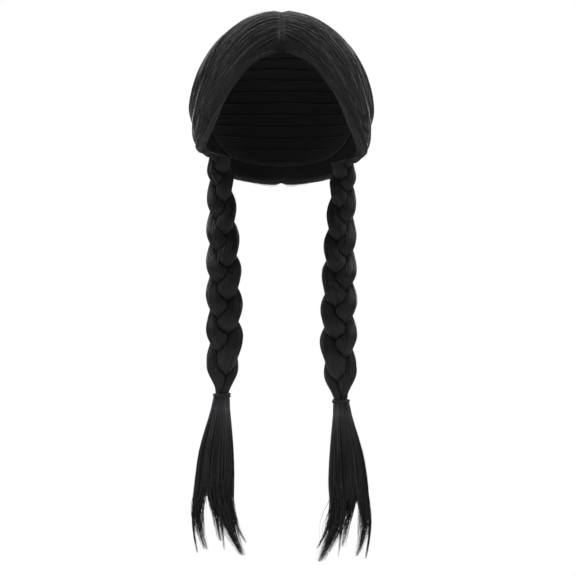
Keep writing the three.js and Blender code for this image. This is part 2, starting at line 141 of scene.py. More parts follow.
def finish(tree, colour, roughness, specular, height, strength, depth, **settings):
    """The end of every material: its colour, roughness and shine, with a bump whose depth is given in
    millimetres."""
    size = {"Height": height, "Strength": strength, "Distance": depth * MM}
    bump = add(tree, "ShaderNodeBump", size, **settings).outputs[0]
    looks = {"Base Color": colour, "Roughness": roughness, "Specular IOR Level": specular, "Normal": bump}
    shader = add(tree, "ShaderNodeBsdfPrincipled", looks)
    add(tree, "ShaderNodeOutputMaterial", {"Surface": shader.outputs[0]})

# %% [markdown]
# ## The fibre
# The hair is heat-resistant synthetic fibre, drawn out as thread and combed straight. It is dyed through,
# so no light comes out of it again, and what shows is a soft satin shine across the strands. Every mesh
# carries an attribute named combed: how far a point lies across the hair, how far along it, both in
# millimetres, and a tone for each fibre, which is random but in places also holds painted light and
# shade.
# The streaks are noise stretched along the second number, so they follow each bend. A real fibre is about
# 0.08 mm thick, too fine to show, so the narrowest streak is drawn at about half a millimetre.

# %% The material of the hair
STREAK = 0.55  # millimetres across the narrowest streak
STREAK_STRETCH = 28  # how many times longer than wide a streak is
BROAD_STREAK = 5.5
BROAD_STRETCH = 12
SHUFFLE = 7  # how far apart in the noise two fibres lie whose tones differ by one
BROAD_WEIGHT = 0.9  # how much the broad streaks and the tone count in the colour
TONE_WEIGHT = 0.35
SATIN = (0.34, 0.5)  # the roughness of the smoothest streaks and of the dullest
GLOSSY_TONES = (1.2, 2)  # the tones over which a lock grows glossy, and how much less rough it ends
GLOSS = 0.24
# Painted shade: the mass under the fibres is coloured darker, because shade falls between the fibres, and
# it is as rough as the size of its tone.
SHADED_MASS_TONE = -0.75  # the tone of the mass under the fibres, whose size is also its roughness


def streaks(tree, combed, width, stretch, shuffle, detail):
    """Noise drawn out along the hair: the place is divided by the width across the hair, and by the
    width times the stretch along it."""
    scale = (1 / width, 1 / (width * stretch), shuffle)
    place = add(tree, "ShaderNodeVectorMath", {0: combed, 1: scale}, operation="MULTIPLY").outputs[0]
    return add(tree, "ShaderNodeTexNoise", {"Vector": place, "Scale": 1, "Detail": detail}).outputs[0]


def fibre_material():
    """Broad streaks and the tone change the colour, narrow streaks the roughness. A tone below 0 is as
    rough as its size and coloured darker, which is painted shade, and one above 1.2 grows glossy and
    lighter, which is a painted highlight."""
    made, tree, combed = new_material("combed_synthetic_fibre")
    tone = add(tree, "ShaderNodeSeparateXYZ", {"Vector": combed}).outputs[2]
    fine = streaks(tree, combed, STREAK, STREAK_STRETCH, SHUFFLE, 2)
    broad = streaks(tree, combed, BROAD_STREAK, BROAD_STRETCH, 0, 1)
    toned = worked_out(tree, "MULTIPLY", tone, TONE_WEIGHT)
    shade = worked_out(tree, "MULTIPLY_ADD", broad, BROAD_WEIGHT, toned)
    # The lightest swatch is reached mostly by high tones: a painted highlight on the temple locks and at
    # the tops of the tails.
    colour = coloured(tree, shade, (0.35, "#151516"), (0.85, "#2d2d31"), (1.0, "#48484a"))
    satin = moved(tree, fine, (0.3, 0.7), SATIN)
    gloss = moved(tree, tone, GLOSSY_TONES, (0, GLOSS))
    smooth = worked_out(tree, "SUBTRACT", satin, gloss)
    dull = worked_out(tree, "MULTIPLY", tone, -1.0)
    roughness = worked_out(tree, "MAXIMUM", smooth, dull)
    finish(tree, colour, roughness, specular=0.3, height=fine, strength=0.5, depth=0.15)
    return made


fibre = fibre_material()
print("made", fibre.name)

# %% [markdown]
# ## Arrays of points
# The shapes below are whole arrays: a surface is a function of two numbers on a grid, and a thousand
# fibres are one array with a row for each. A few small functions do the sums that come back everywhere.

# %% Sums on arrays
def ramp(value, low, high):
    """Rises smoothly from 0 at low to 1 at high: with x the share of the way, 3 x squared less 2 x
    cubed."""
    share = np.clip((value - low) / (high - low), 0, 1)
    return share * share * (3 - 2 * share)


def mix(low, high, share):
    """Low plus the share of the way from low to high."""
    return low + (high - low) * share


def unit(vectors):
    """Each vector divided by its length."""
    return vectors / np.maximum(np.linalg.norm(vectors, axis=-1, keepdims=True), 1e-9)


def space(x, y, z):
    """Three arrays joined as points."""
    return np.stack(np.broadcast_arrays(x, y, z), axis=-1)


def angles_round(count):
    """Even angles round a ring, as one row."""
    return np.linspace(0, 2 * np.pi, count, endpoint=False)[None, :]


def lengths_along(paths):
    """How far along its path each point lies: the sizes of the steps, added up."""
    return np.cumsum(np.linalg.norm(np.gradient(paths, axis=-2), axis=-1), axis=-1)


def sideways_and_up(paths, out):
    """Sideways is a path's direction crossed with out, and up is sideways crossed with the path's
    direction."""
    along = unit(np.gradient(paths, axis=-2))
    sideways = unit(np.cross(along, out))
    return sideways, np.cross(sideways, along)

# %% [markdown]
# ## From arrays to meshes
# A part is a set of points with its faces and its combed attribute. Several parts make one piece, which
# rides on the model's body and stands for one of its solids.

# %% Making a piece
triangles_made = {}


def joined(rings):
    """The faces between each ring of point numbers and the next ring."""
    turned = np.roll(rings, -1, axis=-1)
    corners = [rings[..., :-1, :], turned[..., :-1, :], turned[..., 1:, :], rings[..., 1:, :]]
    return np.stack(corners, axis=-1).reshape(-1, 4)


def volume(points, faces):
    """Six times the volume inside some closed faces, from fans of triangles: the sum of each
    triangle's first corner dotted with the cross product of the other two."""
    total = 0.0
    for k in range(1, faces.shape[1] - 1):
        a, b, c = points[faces[:, 0]], points[faces[:, k]], points[faces[:, k + 1]]
        total += np.einsum("ij,ij->", a, np.cross(b, c))
    return total


def part_of(points, quads, triangles, combed):
    """Points, faces and attribute as one part, with its faces turned to point outwards."""
    flat = points.reshape(-1, 3)
    if volume(flat, quads) + volume(flat, triangles) < 0:
        quads, triangles = quads[:, ::-1], triangles[:, ::-1]
    return flat, quads, triangles, combed.reshape(-1, 3)


def tube(points, combed):
    """A closed tube through rings, with a fan over both ends."""
    rows, sides, _ = points.shape
    k = np.arange(1, sides - 1)
    fan = space(0, k + 1, k).astype(int)
    ends = np.vstack([fan, fan[:, ::-1] + (rows - 1) * sides])
    return part_of(points, joined(np.arange(rows * sides).reshape(rows, sides)), ends, combed)


def oval_tube(path, out, angle, half_width, half_height, combed):
    """A closed tube along a path, which lies sideways of it by half its width times the cosine of the
    angle, and up by half its height times the sine."""
    sideways, up = sideways_and_up(path, out)
    across, high = half_width * np.cos(angle), half_height * np.sin(angle)
    ring = across[..., None] * sideways[:, None] + high[..., None] * up[:, None]
    return tube(path[:, None] + ring, combed)


def add_piece(name, node, parts, material):
    """Joins the parts into one mesh, in metres, that stands for a node."""
    starts = np.cumsum([0] + [len(p[0]) for p in parts])
    points = np.vstack([p[0] for p in parts]) * MM
    quads = np.vstack([p[1] + s for p, s in zip(parts, starts)])
    triangles = np.vstack([p[2] + s for p, s in zip(parts, starts)])
    corners = np.concatenate([quads.ravel(), triangles.ravel()]).astype(np.int32)
    first = np.concatenate([np.arange(len(quads)) * 4, quads.size + np.arange(len(triangles)) * 3])
    mesh = bpy.data.meshes.new(name)
    mesh.vertices.add(len(points))
    mesh.vertices.foreach_set("co", points.ravel())
    mesh.loops.add(len(corners))
    mesh.loops.foreach_set("vertex_index", corners)
    mesh.polygons.add(len(first))
    mesh.polygons.foreach_set("loop_start", first.astype(np.int32))
    mesh.update(calc_edges=True)
    mesh.shade_smooth()
    combed = mesh.attributes.new("combed", "FLOAT_VECTOR", "POINT")
    combed.data.foreach_set("vector", np.vstack([p[3] for p in parts]).astype(np.float32).ravel())
    if mesh.validate():
        print(name, "had faces that were mended")
    mesh.materials.append(material)
    piece = bpy.data.objects.new(name, mesh)
    bpy.context.collection.objects.link(piece)
    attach(piece, "root")
    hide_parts(node)
    triangles_made[name] = 2 * len(quads) + len(triangles)


def print_triangles(words):
    print(words + ":", sum(triangles_made.values()), "triangles")

# %% [markdown]
# ## One fibre, many times
# A fibre could be a round tube, but half of a tube would lie out of sight inside the hair. A ridge with
# three corners costs half as much: two corners lie on the hair, the third stands up between them, and
# smooth shading rounds it. Both ends run to a point and dive into the body below, as a real hair
# disappears among its neighbours.

# %% Fibres from their paths
RIDGE_RISE = 0.85  # how high a fibre's ridge stands, as a share of its half width
RIDGE_SINK = 0.35  # how far its two lower corners lie below its path
END_WIDTH = 0.06  # its width at the ends, as a share of its full width
FIBRE_SINK = 0.25  # how far below the hair a fibre ends, in millimetres
LIFT_ROUNDING = 0.6  # the power of the swelling by which a fibre lifts off the hair


def fibres(paths, out, half_widths, tones, across):
    """Ridges carried along paths. At each point of a path the ridge's corners are the point less and
    plus half a width sideways and a little down, and the point plus some of the half width up. Paths
    and out are (fibre, step, 3)."""
    count, steps, _ = paths.shape
    sideways, up = sideways_and_up(paths, out)
    half = half_widths[..., None]
    low = paths - RIDGE_SINK * half * up
    corners = [low - half * sideways, low + half * sideways, paths + RIDGE_RISE * half * up]
    index = np.arange(count * steps * 3).reshape(count, steps, 3)
    ends = np.concatenate([index[:, 0, ::-1], index[:, -1]])
    corner_across = across[:, None, None] + half * np.array([-1, 1, 0])
    combed = space(corner_across, lengths_along(paths)[..., None], tones[..., None])
    return part_of(np.stack(corners, axis=2), joined(index), ends, combed)


def swelling(shares, rooted=False):
    """Grows from 0 to 1 and back to 0: the sine of pi times the share of the way. A rooted fibre starts
    at 1, as the cosine of half of that angle."""
    return np.where(rooted, np.cos(np.pi / 2 * shares), np.sin(np.pi * shares)).clip(0, 1)


def tapered(swell):
    """The share of its full width that a fibre has as it swells and thins out."""
    return END_WIDTH + (1 - END_WIDTH) * swell**0.45

# %% [markdown]
# ## The cap's round and the hair on it
# The hair follows the cap, so both are one kind of round: a box with curved sides, given as a distance
# from the cap's middle in each direction. The sizes are mostly those of the solids. The gaps and the
# dips are smaller, because the fibres fill them. The edges of each section are short tables, read as
# smooth curves.

# %% Sizes of the cap's hollow and the swept hair
HEAD_WIDTH = 146
HEAD_LENGTH = 188
HEAD_RISE = 90
HEAD_FALL = 105
HEAD_FULLNESS = 2.15
FACE_NARROWING = 0.14
CAP_WALL = 1.5
HAIR_OVER_CAP = 0.9
HAIR_ON_TOP = 8.4
HAIR_AT_SIDE = 13.6
HAIR_AT_FRONT = 8.6
HAIR_AT_BACK = 11
HAIR_FALL = 114
HAIR_FULLNESS = 1.95
PART_DIP = 1.0  # depth of the wide dip beside the parting, and how far down the hair it ends
DIP_END = 0.14
PART_NOTCH = 1.0  # and of the narrow notch in it
NOTCH_END = 0.03
PART_WANDER = 0.3  # how far the parting strays from a straight line
WANDER_END = 0.12
FRONT_STEP = 0.8  # how far the front hair lies below the back hair, and where it goes down to that
STEP_ACROSS = (0.35, 1)
STEP_DOWN = (0.35, 0.6)
EDGE_ROLL = 2.5  # how far the front hair rolls in at the hairline, and how far across that ends
ROLL_END = 0.2
BACK_TUCK = 9  # how far the back hair draws in below its bulge, and where it does
TUCK_DOWN = (0.62, 0.86)
GATHER_DOWN = (0.74, 1)  # where the hair draws together into the bundle
LOWERING_DOWN = (0.5, 0.95)  # where the wearer's left side comes to hang lower
PIECE_GAP = 0.4
PARTING_GAP = 0.03
BUNDLE = (HEAD_WIDTH / 2 - 13.4, 22, -HEAD_RISE - 39.5)
BUNDLE_HALF_WIDTH = 12
BUNDLE_HALF_DEPTH = 9.5
BUNDLE_EDGE = 10
LEFT_SIDE_DROP = 5.8
MIDDLE = np.array([0, 0, -HEAD_RISE])

# Across as a share of half the cap's width, fore of half its length, down of its rise
FRONT_EDGE = np.array([
    (0, 0.81, 0.335),
    (0.274, 0.81, 0.405),
    (0.447, 0.8, 0.51),
    (0.562, 0.77, 0.622),
    (0.664, 0.71, 0.73),
    (0.753, 0.62, 0.85),
    (0.82, 0.49, 1.0),
    (0.86, 0.33, 1.15),
    (0.9, 0.12, 1.29),
    (0.88, -0.08, 1.38),
])
SIDE_BORDER = np.array([
    (0, 0.02, -0.1),
    (0.55, 0.16, 0.02),
    (0.92, 0.25, 0.4),
    (1.09, 0.26, 0.74),
    (1.13, 0.2, 1.0),
    (1.13, 0.07, 1.22),
    (1.08, -0.07, 1.36),
])
NAPE_EDGE = np.array([
    (0, -0.86, 1.66),
    (0.35, -0.81, 1.65),
    (0.62, -0.67, 1.6),
    (0.78, -0.5, 1.53),
])


def round_reach(ways, half_width, half_length, rise, fall, fullness):
    """How far a round shape reaches in each direction: the sum of each direction's part over its own
    half size, to the power of the fullness, and of that sum the root, inverted. The width narrows
    towards the front, and the height is the rise above the middle and the fall below."""
    width = half_width * (1 - FACE_NARROWING * ramp(-ways[..., 1], 0, 0.75))
    height = np.where(ways[..., 2] > 0, rise, fall)
    sizes = np.stack([width, half_length + 0 * width, height], axis=-1)
    return (np.abs(ways / sizes) ** fullness).sum(axis=-1) ** (-1 / fullness)


def head_reach(ways):
    """The inside of the cap, from its middle."""
    return round_reach(ways, HEAD_WIDTH / 2, HEAD_LENGTH / 2, HEAD_RISE, HEAD_FALL, HEAD_FULLNESS)


def hair_reach(ways):
    """The outside of the hair: the hollow's half sizes with the cap and the hair's depth added."""
    base = CAP_WALL + HAIR_OVER_CAP
    half_width = HEAD_WIDTH / 2 + base + HAIR_AT_SIDE
    half_length = HEAD_LENGTH / 2 + base + np.where(ways[..., 1] < 0, HAIR_AT_FRONT, HAIR_AT_BACK)
    rise = HEAD_RISE + base + HAIR_ON_TOP
    return round_reach(ways, half_width, half_length, rise, HAIR_FALL, HAIR_FULLNESS)


def head_points(rows):
    """The places that an edge table gives, in millimetres."""
    return rows * np.array([HEAD_WIDTH / 2, -HEAD_LENGTH / 2, -HEAD_RISE])


def drop_of(side):
    """How much lower one side hangs, where 1 is the wearer's left and -1 the right."""
    return LEFT_SIDE_DROP if side > 0 else 0


print("the hair stands", round(HAIR_AT_SIDE + CAP_WALL + HAIR_OVER_CAP, 1), "mm off the head at the side")

# %% [markdown]
# ## Smooth curves through a few points
# An edge of a section passes through the points of its table. A centripetal spline does so without
# loops or overshoot, whatever the spacing. It is read by the share of its length, so that steps along it
# are even. The columns of the later tables are read in the same way, but by the table's first column.

# %% A spline read by its length, and a table's column
CURVE_SAMPLES = 2001


def cubic(w, low, leave, high, arrive):
    """The cubic from low to high, with w the share of the way and a given slope at each end."""
    rise = 3 * w**2 - 2 * w**3
    return (1 - rise) * low + (w**3 - 2 * w**2 + w) * leave + rise * high + (w**3 - w**2) * arrive


def curve_through(points):
    """A curve through points. Between two of them it is a cubic that leaves and arrives along slopes
    taken from the neighbours, each weighed by the square root of the distances between the points."""
    knots = np.vstack([2 * points[0] - points[1], points, 2 * points[-1] - points[-2]])
    spans = np.linalg.norm(np.diff(knots, axis=0), axis=1)[:, None] ** 0.5
    place = np.linspace(0, len(points) - 1, CURVE_SAMPLES)
    i = np.minimum(place.astype(int), len(points) - 2)
    a, b, c, d = (knots[i + k] for k in range(4))
    before, here, after = (spans[i + k] for k in range(3))
    leave = ((b - a) / before - (c - a) / (before + here) + (c - b) / here) * here
    arrive = ((c - b) / here - (d - b) / (here + after) + (d - c) / after) * here
    curve = cubic((place - i)[:, None], b, leave, c, arrive)
    length = np.concatenate([[0], np.cumsum(np.linalg.norm(np.diff(curve, axis=0), axis=1))])
    share = length / length[-1]
    return lambda t: np.stack([np.interp(t, share, curve[:, k]) for k in range(3)], axis=-1)


def column(rows, number):
    """A table's column as a smooth function of its first one: cubic stretches whose slope at a row is
    half the difference between its neighbours."""
    x, y = rows[:, 0], rows[:, number]
    padded = np.concatenate([y[:1], y, y[-1:]])
    slope = (padded[2:] - padded[:-2]) / 2

    def read(place):
        i = np.clip(np.searchsorted(x, place, side="right") - 1, 0, len(x) - 2)
        w = np.clip((place - x[i]) / (x[i + 1] - x[i]), 0, 1)
        return cubic(w, y[i], slope[i], y[i + 1], slope[i + 1])

    return read

# %% [markdown]
# ## A section of swept hair
# Each section is a patch between two edges. One way across it runs from the hairline to the border with
# the next section, the other from the parting down to the bundle where the braid starts. The patch is
# stretched between its four sides: what the two edges say, plus what the parting and the bundle say,
# less what the four corners say twice.

# %% The patch between two edges
def bundle_points(share, front, depth):
    """The outline of the bundle that a braid starts from: half an ellipse for each section, from the
    inner side at share 0 to the outside at 1. Depth is 0 on the line that splits the halves and 1 on
    the outline."""
    angle = np.radians(mix(BUNDLE_EDGE, 180 - BUNDLE_EDGE, share))
    return space(
        BUNDLE[0] - BUNDLE_HALF_WIDTH * np.cos(angle),
        BUNDLE[1] + front * (PARTING_GAP / 2 + depth * BUNDLE_HALF_DEPTH * np.sin(angle)),
        BUNDLE[2],
    )


def parting_ways(start, end):
    """Directions in the middle plane, turned evenly from one point's direction to another's."""
    low, high = (np.arctan2(p[1] - MIDDLE[1], p[2] - MIDDLE[2]) for p in (start, end))
    return lambda s: space(0 * s, np.sin(mix(low, high, s)), np.cos(mix(low, high, s)))


def patch(first, last, parting, bundle, reach):
    """A layer of a section: the direction from the cap's middle is the patch stretched between the
    four sides, and the distance is the reach, which turns into the bundle's own at the end."""
    zero, one = np.zeros(1), np.ones(1)
    first_edge = curve_through(unit(np.vstack([head_points(first), bundle(zero)]) - MIDDLE))
    last_edge = curve_through(unit(np.vstack([head_points(last), bundle(one)]) - MIDDLE))

    def point(s, t, raised=0.0):
        across, down = s[..., None], t[..., None]
        end = bundle(s) - MIDDLE
        ways = unit(
            (1 - across) * first_edge(t)
            + across * last_edge(t)
            + (1 - down) * parting(s)
            + down * unit(end)
            - (1 - across) * (1 - down) * first_edge(0)
            - across * (1 - down) * last_edge(0)
            - (1 - across) * down * first_edge(1)
            - across * down * last_edge(1)
        )
        distance = mix(reach(ways, s, t), np.linalg.norm(end, axis=-1), ramp(t, *GATHER_DOWN))
        return ways * (distance + raised)[..., None] + MIDDLE

    return point


def valley(t):
    """The dip beside the parting: a wide shallow one, and a narrow notch where the roots come out."""
    return PART_DIP * (1 - ramp(t, 0, DIP_END)) + PART_NOTCH * (1 - ramp(t, 0, NOTCH_END))


def front_reach(ways, s, t):
    """The front hair lies lower towards the border and rolls in at the hairline."""
    step = FRONT_STEP * ramp(s, *STEP_ACROSS) * ramp(t, *STEP_DOWN)
    return hair_reach(ways) - valley(t) - step - EDGE_ROLL * (1 - ramp(s, 0, ROLL_END))


def back_reach(ways, s, t):
    """The back hair draws in below its bulge."""
    return hair_reach(ways) - valley(t) - BACK_TUCK * ramp(t, *TUCK_DOWN)


def inner_reach(ways, s, t):
    """The inside lies just off the cap."""
    return head_reach(ways) + CAP_WALL + HAIR_OVER_CAP


part_front, part_top, part_nape = (head_points(rows[0]) for rows in (FRONT_EDGE, SIDE_BORDER, NAPE_EDGE))
front_part = parting_ways(part_front, part_top)
back_part = parting_ways(part_top, part_nape)
front_layers = [
    patch(FRONT_EDGE, SIDE_BORDER, front_part, lambda s, d=d: bundle_points(s, -1, d), reach)
    for d, reach in ((1, front_reach), (0, inner_reach))
]
back_layers = [
    patch(SIDE_BORDER, NAPE_EDGE, back_part, lambda s, d=d: bundle_points(1 - s, 1, d), reach)
    for d, reach in ((1, back_reach), (0, inner_reach))
]

# %% [markdown]
# ## Which way the comb went
# A hair doesn't keep to one line of the patch. Beside the parting it first runs forward, towards the
# hairline, and only then turns along it, so the strands leave the parting in an upside-down V. The comb
# also leaves shallow ridges, rounded on top and sharp between, that wander a little.

# %% Combed lines and the ridges between them
COMB_FORWARD = 0.125  # the share of the section by which a hair moves forward
COMB_TURN = 0.06  # the share of the way down by which it has mostly turned
COMB_FULL = 0.18  # how far across the section a hair moves the most
COMB_NONE = 0.6  # and from where on it doesn't
RIDGES = ((13, 0.55), (29, 0.28), (53, 0.16))  # how many across a section, and their depth
RIDGE_MEAN = 0.64  # the mean size of a sine wave
FLAT_AT_BUNDLE = 0.75


def front_line(a, t):
    """Where the combed line a lies across the front section: moved forward by a share that dies away
    exponentially down the hair, less close to the hairline and on top."""
    weight = np.minimum(a / COMB_FULL, 1) * (1 - ramp(a, COMB_FULL, COMB_NONE))
    return a - COMB_FORWARD * weight * (1 - np.exp(-t / COMB_TURN))


def back_line(a, t):
    """The back hair is combed straight from the parting."""
    return a + 0 * t


def ridges(a, t, phases):
    """Depth of the combed ridges: sums of the size of sine waves across the hair, whose places wander
    with slower sines, shallower where the hair gathers."""
    wander = 0.02 * np.sin(2 * np.pi * (1.1 * t + 3.7 * a + phases[0]))
    wander += 0.011 * np.sin(2 * np.pi * (2.3 * t - 8.3 * a + phases[1]))
    depth = 0
    for k, (count, height) in enumerate(RIDGES):
        wave = np.abs(np.sin(np.pi * (count * (a + wander) + 0.6 * t + phases[2 + k])))
        depth = depth + height * (wave - RIDGE_MEAN)
    return depth * (1 - FLAT_AT_BUNDLE * ramp(t, 0.45, 1)) * ramp(t, 0, 0.04)

# %% [markdown]
# ## All round a section
# The section is closed: the outside, the inside and the two edges between them. One number runs round
# it, 0 to 1 over the outside, and from there to -1 and to 2 round the two edges to the inside, so the
# same function places the mesh and every fibre on it.

# %% The surface of a section
EDGE_BULGE = 2.0  # how far a free edge rounds out
BULGE_FROM = (0, 0.06)  # where on the way down the bulge begins and ends
BULGE_TO = (0.8, 1)
ACROSS_PROBE = 0.01  # steps that find which way a surface faces
FACING_PROBE = 0.004


def placed(place, t, side):
    """Puts a section's point on its side: the wearer's right is the mirror image, the left hangs lower
    towards the bundle, and near the parting both sides follow its sideways wander, a sum of two sines."""
    y, z = place[..., 1], place[..., 2]
    waves = np.sin(y / 9.3 + z / 14) + 0.4 * np.sin(y / 4.1 - z / 6 + 1)
    wander = PART_WANDER * waves * (1 - ramp(t, 0, WANDER_END))
    low = drop_of(side) * ramp(t, *LOWERING_DOWN)
    return space(side * (place[..., 0] + PARTING_GAP / 2) + wander, y, z - low)


def section_surface(layers, line, bulges, side, phases):
    """The point at q round the section and t down it. Between 0 and 1 it lies on the outer layer. Past
    either end it goes over to the inner layer, and bulges by four times the share times one less the
    share."""
    outer, inner = layers

    def surface(q, t, lift=0.0):
        a = np.clip(q, 0, 1)
        past = np.abs(q - a)
        raised = ridges(a, t, phases) * (1 - ramp(past, 0, 0.5)) + lift
        s = line(a, t)
        on_top = outer(s, t, raised * (1 - past))
        below = inner(s, t, -lift * past)
        away = unit(on_top - outer(s + np.where(a > 0.5, -ACROSS_PROBE, ACROSS_PROBE), t))
        bulge = np.where(a > 0.5, bulges[1], bulges[0]) + lift
        held = ramp(t, *BULGE_FROM) * (1 - ramp(t, *BULGE_TO))
        round_out = (bulge * 4 * past * (1 - past) * held)[..., None]
        return placed(mix(on_top, below, past[..., None]) + away * round_out, t, side)

    return surface


def facing(surface, q, t, side):
    """The surface's outward direction: its change across crossed with its change down."""
    lower = np.minimum(t + FACING_PROBE, 1)
    across = surface(q + FACING_PROBE, t) - surface(q, t)
    down = surface(q, lower) - surface(q, lower - FACING_PROBE)
    return side * unit(np.cross(down, across))

# %% [markdown]
# The body of a section is a closed loop carried from the parting to the bundle. Both its ends are closed
# by a ladder of faces between the outside and the inside, with a fan at each edge.

# %% The body of a section
BODY_ROWS = 72
BODY_COLUMNS = 84
EDGE_COLUMNS = 6
SECTION_WIDTH = 150  # millimetres that the combed attribute counts across a section and down it
SECTION_LENGTH = 250


def closed_loop(ring_count, rows):
    """The faces between rings, and the two ladders that close the first ring and the last. The ring
    runs round the first edge, over the outside, round the second edge and back along the inside."""
    top = np.arange(EDGE_COLUMNS, EDGE_COLUMNS + BODY_COLUMNS + 1)
    last = 2 * EDGE_COLUMNS + BODY_COLUMNS
    under = np.concatenate([[0], np.arange(ring_count - 1, last - 1, -1)])
    ladder = np.stack([top[:-1], under[:-1], under[1:], top[1:]], axis=-1)
    k = np.arange(1, EDGE_COLUMNS)
    fan = np.concatenate([space(0, k + 1, k), space(last, last - k, last - k - 1)]).astype(int)
    sides = joined(np.arange(rows * ring_count).reshape(rows, ring_count))
    end = (rows - 1) * ring_count
    return np.vstack([sides, ladder, ladder[:, ::-1] + end]), np.vstack([fan, fan[:, ::-1] + end])


def section_body(surface, inner):
    """One mesh all round the section, with the combed attribute in its own millimetres."""
    outside = np.linspace(0, 1, BODY_COLUMNS + 1)
    edge = np.linspace(0, 1, EDGE_COLUMNS + 1)
    q = np.concatenate([edge[:-1] - 1, outside, 1 + edge[1:]])
    back = outside[-2:0:-1]
    t = np.linspace(0, 1, BODY_ROWS + 1)[:, None]
    rings = [surface(*np.broadcast_arrays(q, t)), inner(*np.broadcast_arrays(back, t))]
    points = np.concatenate(rings, axis=1)
    quads, triangles = closed_loop(points.shape[1], len(t))
    across = np.concatenate([q, 3 - back]) * SECTION_WIDTH
    return part_of(points, quads, triangles, space(across, t * SECTION_LENGTH, SHADED_MASS_TONE))

# %% [markdown]
# ## Fibres on a section
# The fibres lie in random order along the combed lines. Nearly half start at the parting, where their
# roots reach a little way over it, rough and coloured darker: painted shade in the notch. The others come
# up from among their neighbours, and each goes under again after a while. A few strays stand off the
# surface, as they do on any wig that has been handled.

# %% Laying the fibres
# How many hairs, and from least to most the share of the way down that one lasts, its height over the
# surface and its half width in millimetres, then how far it wanders as a share of the way across
COMBED_HAIRS = {
    "count": 1450,
    "spans": (0.14, 0.42),
    "lifts": (0.1, 0.55),
    "halves": (0.2, 0.38),
    "wander": 0.008,
}
STRAY_HAIRS = {
    "count": 26,
    "spans": (0.15, 0.4),
    "lifts": (0.8, 2.4),
    "halves": (0.07, 0.1),
    "wander": 0.03,
}
WANDER_TURNS = (0.3, 1.1)  # how many waves a hair's wander has over its length, at least and at most
FIBRE_STEPS = 12
FIBRES_WIDTH = 170  # millimetres that the combed attribute counts from the first fibre to the last
ROOTED = 0.45  # the share of hairs that start at the parting
ROOT_SPREAD = 0.004  # how far down they start at most
ROOT_CROSSING = 1.5  # how far a hair's root may lie beyond the parting, in millimetres
ROOT_LIFT = 0.3  # how much of its height a hair has at its root
ROOT_SHOWN = 0.03  # how far down it has all of it
# Painted shade: near the parting a root keeps the darker, rougher tone of the mass.
ROOT_SHADE_AND_DULL = 0.045  # how far down it has its own tone, and no longer that of the mass
# Painted shade: fibres are coloured darker, and rougher, near the front hair's hairline and near the back
# hair's border with the front hair, where shade falls.
HAIRLINE_SHADE_AND_DULL = (-0.02, 0.14)  # where across the section the hair gets its full tone, and by how much
HAIRLINE_SHADE = 0.7


def laid(surface, side, rng, q_range, count, spans, lifts, halves, wander):
    """Fibres along the combed lines: each runs for its span down the hair at its own place across,
    which wanders with one slow sine, and its lift is its height times a root of the sine of the share,
    less a little, so that both ends lie under the surface."""
    labels = (rng.permutation(count) + rng.random(count)) / count
    span = mix(*spans, rng.random(count) ** 1.5)
    rooted = rng.random((count, 1)) < ROOTED
    at_root = ROOT_SPREAD * rng.random(count)
    start = np.where(rooted[:, 0], at_root, rng.random(count) * (1 - 0.6 * span))
    share = np.linspace(0, 1, FIBRE_STEPS)[None, :]
    t = mix(start[:, None], np.minimum(start + span, 1)[:, None], share)
    turns = mix(*WANDER_TURNS, rng.random(count))[:, None]
    swing = wander * np.sin(2 * np.pi * (turns * share + rng.random((count, 1))))
    q = mix(*q_range, labels)[:, None] + swing
    height = mix(*lifts, rng.random(count))[:, None]
    swell = swelling(share, rooted)
    shown = ramp(t, 0, ROOT_SHOWN)
    lift = height * swell**LIFT_ROUNDING * mix(ROOT_LIFT, 1, shown)
    paths = surface(q, t, lift - FIBRE_SINK * np.where(rooted, share, 1))
    paths[..., 0] -= side * ROOT_CROSSING * rng.random((count, 1)) * (1 - shown)
    half = mix(*halves, rng.random(count))[:, None]
    # Painted shade: the roots take the darker, rough tone of the mass.
    tones = mix(SHADED_MASS_TONE, rng.random((count, 1)), ramp(t, 0, ROOT_SHADE_AND_DULL))
    # Painted shade at the hairline and at the border.
    tones = tones - HAIRLINE_SHADE * (1 - ramp(q, *HAIRLINE_SHADE_AND_DULL))
    return fibres(paths, facing(surface, q, t, side), half * tapered(swell), tones, labels * FIBRES_WIDTH)

# %% [markdown]
# By the border with the back hair, two slim flat locks at each temple lie a little proud of the rest.
# They are smoother, and mirror the light from behind as a thin bright line, and their lighter colour is a
# painted highlight along it.

# %% The locks at the temple, and whole sections
# Where each lock lies across the section at its upper and its lower end, and where it begins and ends on
# the way down
TEMPLE_LOCKS = (
    (0.945, 0.95, 0.46, 0.75),
    (0.985, 0.99, 0.51, 0.8),
)
TEMPLE_HALF_WIDTH = 1.1
TEMPLE_HALF_HEIGHT = 0.5
TEMPLE_RISE = 0.9
TEMPLE_SINK = 0.4
TEMPLE_ROWS = 50
TEMPLE_SIDES = 12
# A high tone: smoother, and coloured lighter, which is a painted highlight.
TEMPLE_HIGHLIGHT_TONE = 2.0


def temple_lock(surface, side, upper, lower, begin, end):
    """A flat lock: an oval tube that swells and thins out as a fibre does, with both ends under the
    hair."""
    share = np.linspace(0, 1, TEMPLE_ROWS)
    q, t = mix(upper, lower, share), mix(begin, end, share)
    swell = swelling(share)
    path = surface(q, t, TEMPLE_RISE * swell**LIFT_ROUNDING - TEMPLE_SINK)
    angle = angles_round(TEMPLE_SIDES)
    size = tapered(swell)[:, None]
    combed = space(angle, t[:, None] * SECTION_LENGTH, TEMPLE_HIGHLIGHT_TONE)
    out = facing(surface, q, t, side)
    return oval_tube(path, out, angle, TEMPLE_HALF_WIDTH * size, TEMPLE_HALF_HEIGHT * size, combed)


